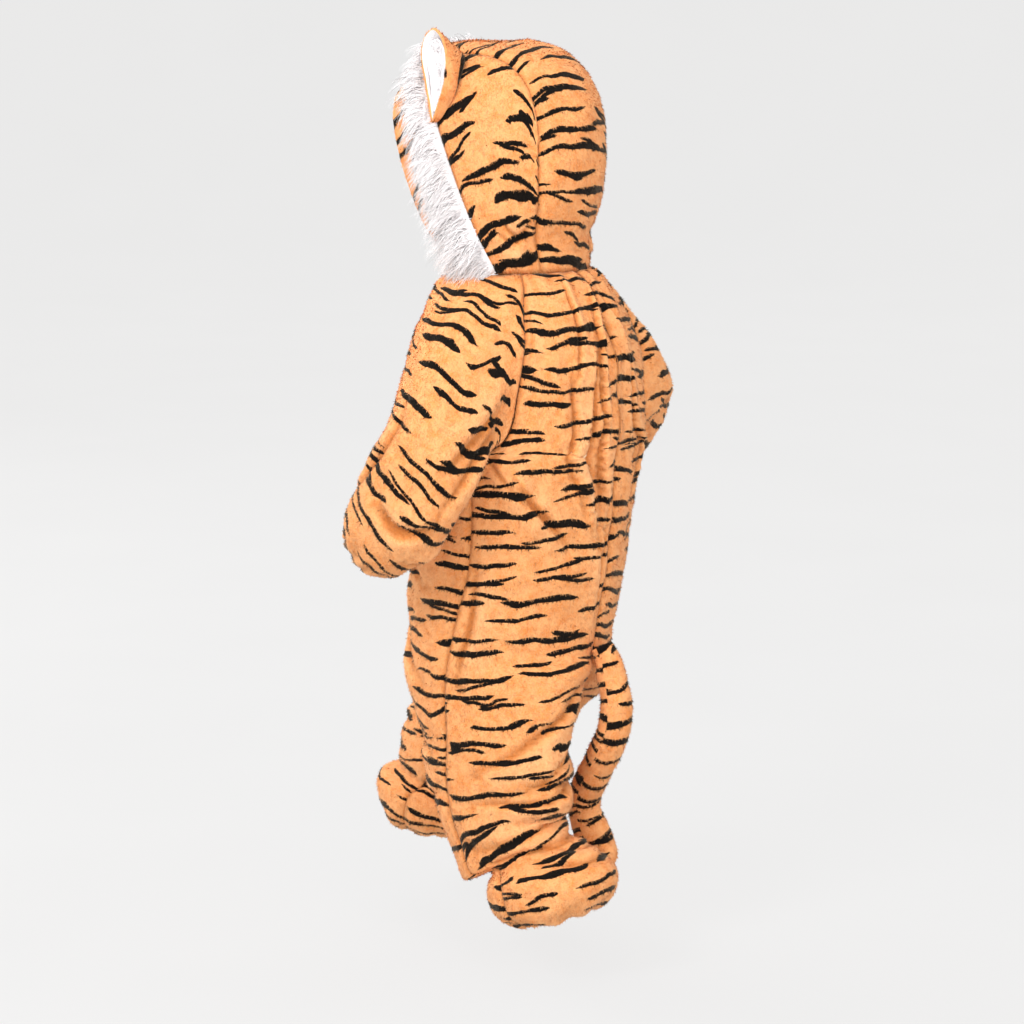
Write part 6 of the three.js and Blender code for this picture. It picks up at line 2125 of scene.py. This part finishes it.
@dataclass
class Zip:
    """Centre front zip: tapes, teeth, slider and pull tab."""

    wardrobe: Wardrobe
    top: float = -12.0
    bottom: float = -317.0
    pitch: float = 1.9
    depth: float = 4.0
    tooth: tuple[float, float, float] = (2.9, 2.0, 1.1)
    bevel: float = 0.25

    def tooth_mesh(self) -> tuple[Numbers, list[tuple[int, ...]]]:
        """Models one tooth at the origin and returns its points and faces."""
        bpy.ops.object.select_all(action="DESELECT")
        bpy.ops.mesh.primitive_cube_add(size=1, location=(0, 0, 0))
        tooth = bpy.context.active_object
        tooth.scale = self.tooth
        bpy.ops.object.transform_apply(location=False, rotation=False, scale=True)
        bevel = tooth.modifiers.new("rounded", "BEVEL")
        bevel.width = self.bevel
        bevel.segments = 1
        bpy.ops.object.modifier_apply(modifier=bevel.name)
        points = np.array([vertex.co[:] for vertex in tooth.data.vertices])
        faces = [tuple(face.vertices) for face in tooth.data.polygons]
        bpy.data.objects.remove(tooth)
        return points, faces

    def build(self, nodes: dict[str, bpy.types.Object]) -> list[bpy.types.Object]:
        """Makes the teeth and dresses the tapes, slider and tab.

        Args:
            nodes: The loaded solids.

        Returns:
            The new pieces.
        """
        points, faces = self.tooth_mesh()
        vertices, corners = [], []
        count = int((self.top - self.bottom) / self.pitch)
        for k in range(count):
            z = self.top - k * self.pitch
            front = float(TORSO.read(z, "mid") - TORSO.read(z, "front"))
            slope = float(TORSO.read(z - 1, "mid") - TORSO.read(z - 1, "front")) - front
            rise = unit(np.array([0.0, slope, -1.0]))
            into = np.array([0.0, -rise[2], rise[1]])
            shift = np.array([0.9 if k % 2 else -0.9, front, z]) + into * self.depth
            frame = np.stack([np.array([1.0, 0, 0]), into, -rise])
            corners += [tuple(c + k * len(points) for c in face) for face in faces]
            vertices.append(points @ frame + shift)
        teeth = new_object("zip_teeth", np.concatenate(vertices), corners, [self.wardrobe.metal])
        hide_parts("zip_chain")
        ride(teeth)
        for name in ("zip_tape_left", "zip_tape_right"):
            nodes[name].data.materials.clear()
            nodes[name].data.materials.append(self.wardrobe.tape)
        for name in ("zip_slider", "zip_pull_tab"):
            part = nodes[name]
            part.data.materials.clear()
            part.data.materials.append(self.wardrobe.metal)
            weld = part.modifiers.new("weld", "WELD")
            weld.merge_threshold = 0.00001
            bevel = part.modifiers.new("rounded", "BEVEL")
            bevel.width = self.bevel * MM
            bevel.segments = 2
        return [teeth]


@dataclass(frozen=True)
class Lamp:
    """A square soft light that faces the costume, its place in degrees and metres, its power in watts."""

    name: str
    azimuth: float
    elevation: float
    distance: float
    size: float
    power: float


LAMPS = (
    Lamp("key light", 88, 36, 3.0, 0.9, 42),
    Lamp("fill light", 142, 22, 3.2, 1.0, 36),
    Lamp("front light", 352, 22, 3.4, 2.0, 60),
    Lamp("top light", 100, 82, 2.8, 2.4, 16),
)


@dataclass
class Studio:
    """Pale floor that curves up all round, soft lights and the camera."""

    floor: float = -0.70
    inner: float = 6.0
    outer: float = 9.0
    wall: float = 6.0
    azimuth: float = 123.0
    elevation: float = 9.5
    distance: float = 3.2
    target: float = -0.247
    lens: float = 112.5
    sensor: float = 36.0
    glow: float = 0.76
    sides: int = 96
    bends: int = 8
    flat: float = 1.5
    hub: float = 0.001
    aim: float = -0.25
    air: float = 0.75

    def material(self) -> bpy.types.Material:
        """Builds the pale paint of the floor."""
        made, graph, shader = principled("studio floor")
        tone = graph.ramp(graph.noise(graph.place(), 3.0), 0.2, 0.8)
        graph.fill(shader, {
            "Base Color": graph.mix(tone, (0.065, 0.065, 0.065, 1), (0.075, 0.075, 0.075, 1)),
            "Emission Color": (1.0, 0.995, 0.99, 1), "Emission Strength": self.glow,
            "Roughness": 0.85, "Specular IOR Level": 0.1,
        })
        return made

    def bowl(self) -> bpy.types.Object:
        """Makes the floor, a wide bowl whose wall stands behind every camera."""
        sides, reach = self.sides, self.outer - self.inner
        profile = [(self.hub, 0.0), (self.flat, 0.0), (self.inner, 0.0)]
        for k in range(1, self.bends + 1):
            a = k / self.bends * math.pi / 2
            profile.append((self.inner + reach * math.sin(a), reach * (1 - math.cos(a))))
        profile.append((self.outer, self.wall))
        turn = np.arange(sides) * 2 * math.pi / sides
        rings = []
        for r, h in profile:
            level = np.full(sides, h + self.floor)
            rings.append(np.stack([r * np.cos(turn), r * np.sin(turn), level], axis=1))
        vertices = np.concatenate(rings) / MM
        faces = []
        for j in range(len(profile) - 1):
            for i in range(sides):
                k = (i + 1) % sides
                faces.append((j * sides + i, (j + 1) * sides + i, (j + 1) * sides + k, j * sides + k))
        faces.append(tuple(range(sides)))
        return new_object("studio_floor", vertices, faces, [self.material()])

    def direction(self, azimuth: float, elevation: float) -> Vector:
        """The way from the costume to a place round it."""
        a, e = math.radians(azimuth), math.radians(elevation)
        return Vector((math.sin(a) * math.cos(e), -math.cos(a) * math.cos(e), math.sin(e)))

    def light(self, lamp: Lamp) -> None:
        """Adds a light."""
        data = bpy.data.lights.new(lamp.name, "AREA")
        data.size = lamp.size
        data.energy = lamp.power
        made = bpy.data.objects.new(lamp.name, data)
        way = self.direction(lamp.azimuth, lamp.elevation)
        made.location = Vector((0, 0, self.aim)) + way * lamp.distance
        made.rotation_mode = "QUATERNION"
        made.rotation_quaternion = way.to_track_quat("Z", "Y")
        bpy.context.scene.collection.objects.link(made)

    def build(self) -> None:
        """Sets up the floor, the lights, the sky and the camera."""
        self.bowl()
        for lamp in LAMPS:
            self.light(lamp)
        world = bpy.context.scene.world or bpy.data.worlds.new("studio air")
        bpy.context.scene.world = world
        world.use_nodes = True
        graph = Graph(world.node_tree)
        air = graph.node("ShaderNodeBackground", {"Color": (0.97, 0.98, 1.0, 1), "Strength": self.air})
        leave = graph.node("ShaderNodeOutputWorld")
        graph.put(leave.inputs["Surface"], air.outputs[0])
        lens = bpy.data.cameras.new("camera")
        lens.lens = self.lens
        lens.sensor_width = self.sensor
        camera = bpy.data.objects.new("camera", lens)
        way = self.direction(self.azimuth, self.elevation)
        camera.location = Vector((0, 0, self.target)) + way * self.distance
        camera.rotation_mode = "QUATERNION"
        camera.rotation_quaternion = (-way).to_track_quat("-Z", "Y")
        bpy.context.scene.collection.objects.link(camera)
        bpy.context.scene.camera = camera
        bpy.context.scene.view_settings.view_transform = "Standard"


def report(title: str, pieces: list[bpy.types.Object]) -> None:
    """Logs the pieces of a sub-assembly with their triangles."""
    for piece in pieces:
        triangles = sum(len(face.vertices) - 2 for face in piece.data.polygons)
        LOG.info("%s: %s, %d triangles", title, piece.name, triangles)


def main() -> None:
    """Builds the costume and its studio in order."""
    logging.basicConfig(level=logging.INFO, format="%(message)s")
    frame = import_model()
    wardrobe = Wardrobe.make()
    for title, kind in (("body", Body), ("sleeves", Sleeves), ("hood", Hood), ("ears", Ears), ("tail", Tail)):
        report(title, kind(wardrobe).build())
    report("zip", Zip(wardrobe).build(frame["nodes"]))
    Studio().build()


if __name__ == "__main__":
    main()
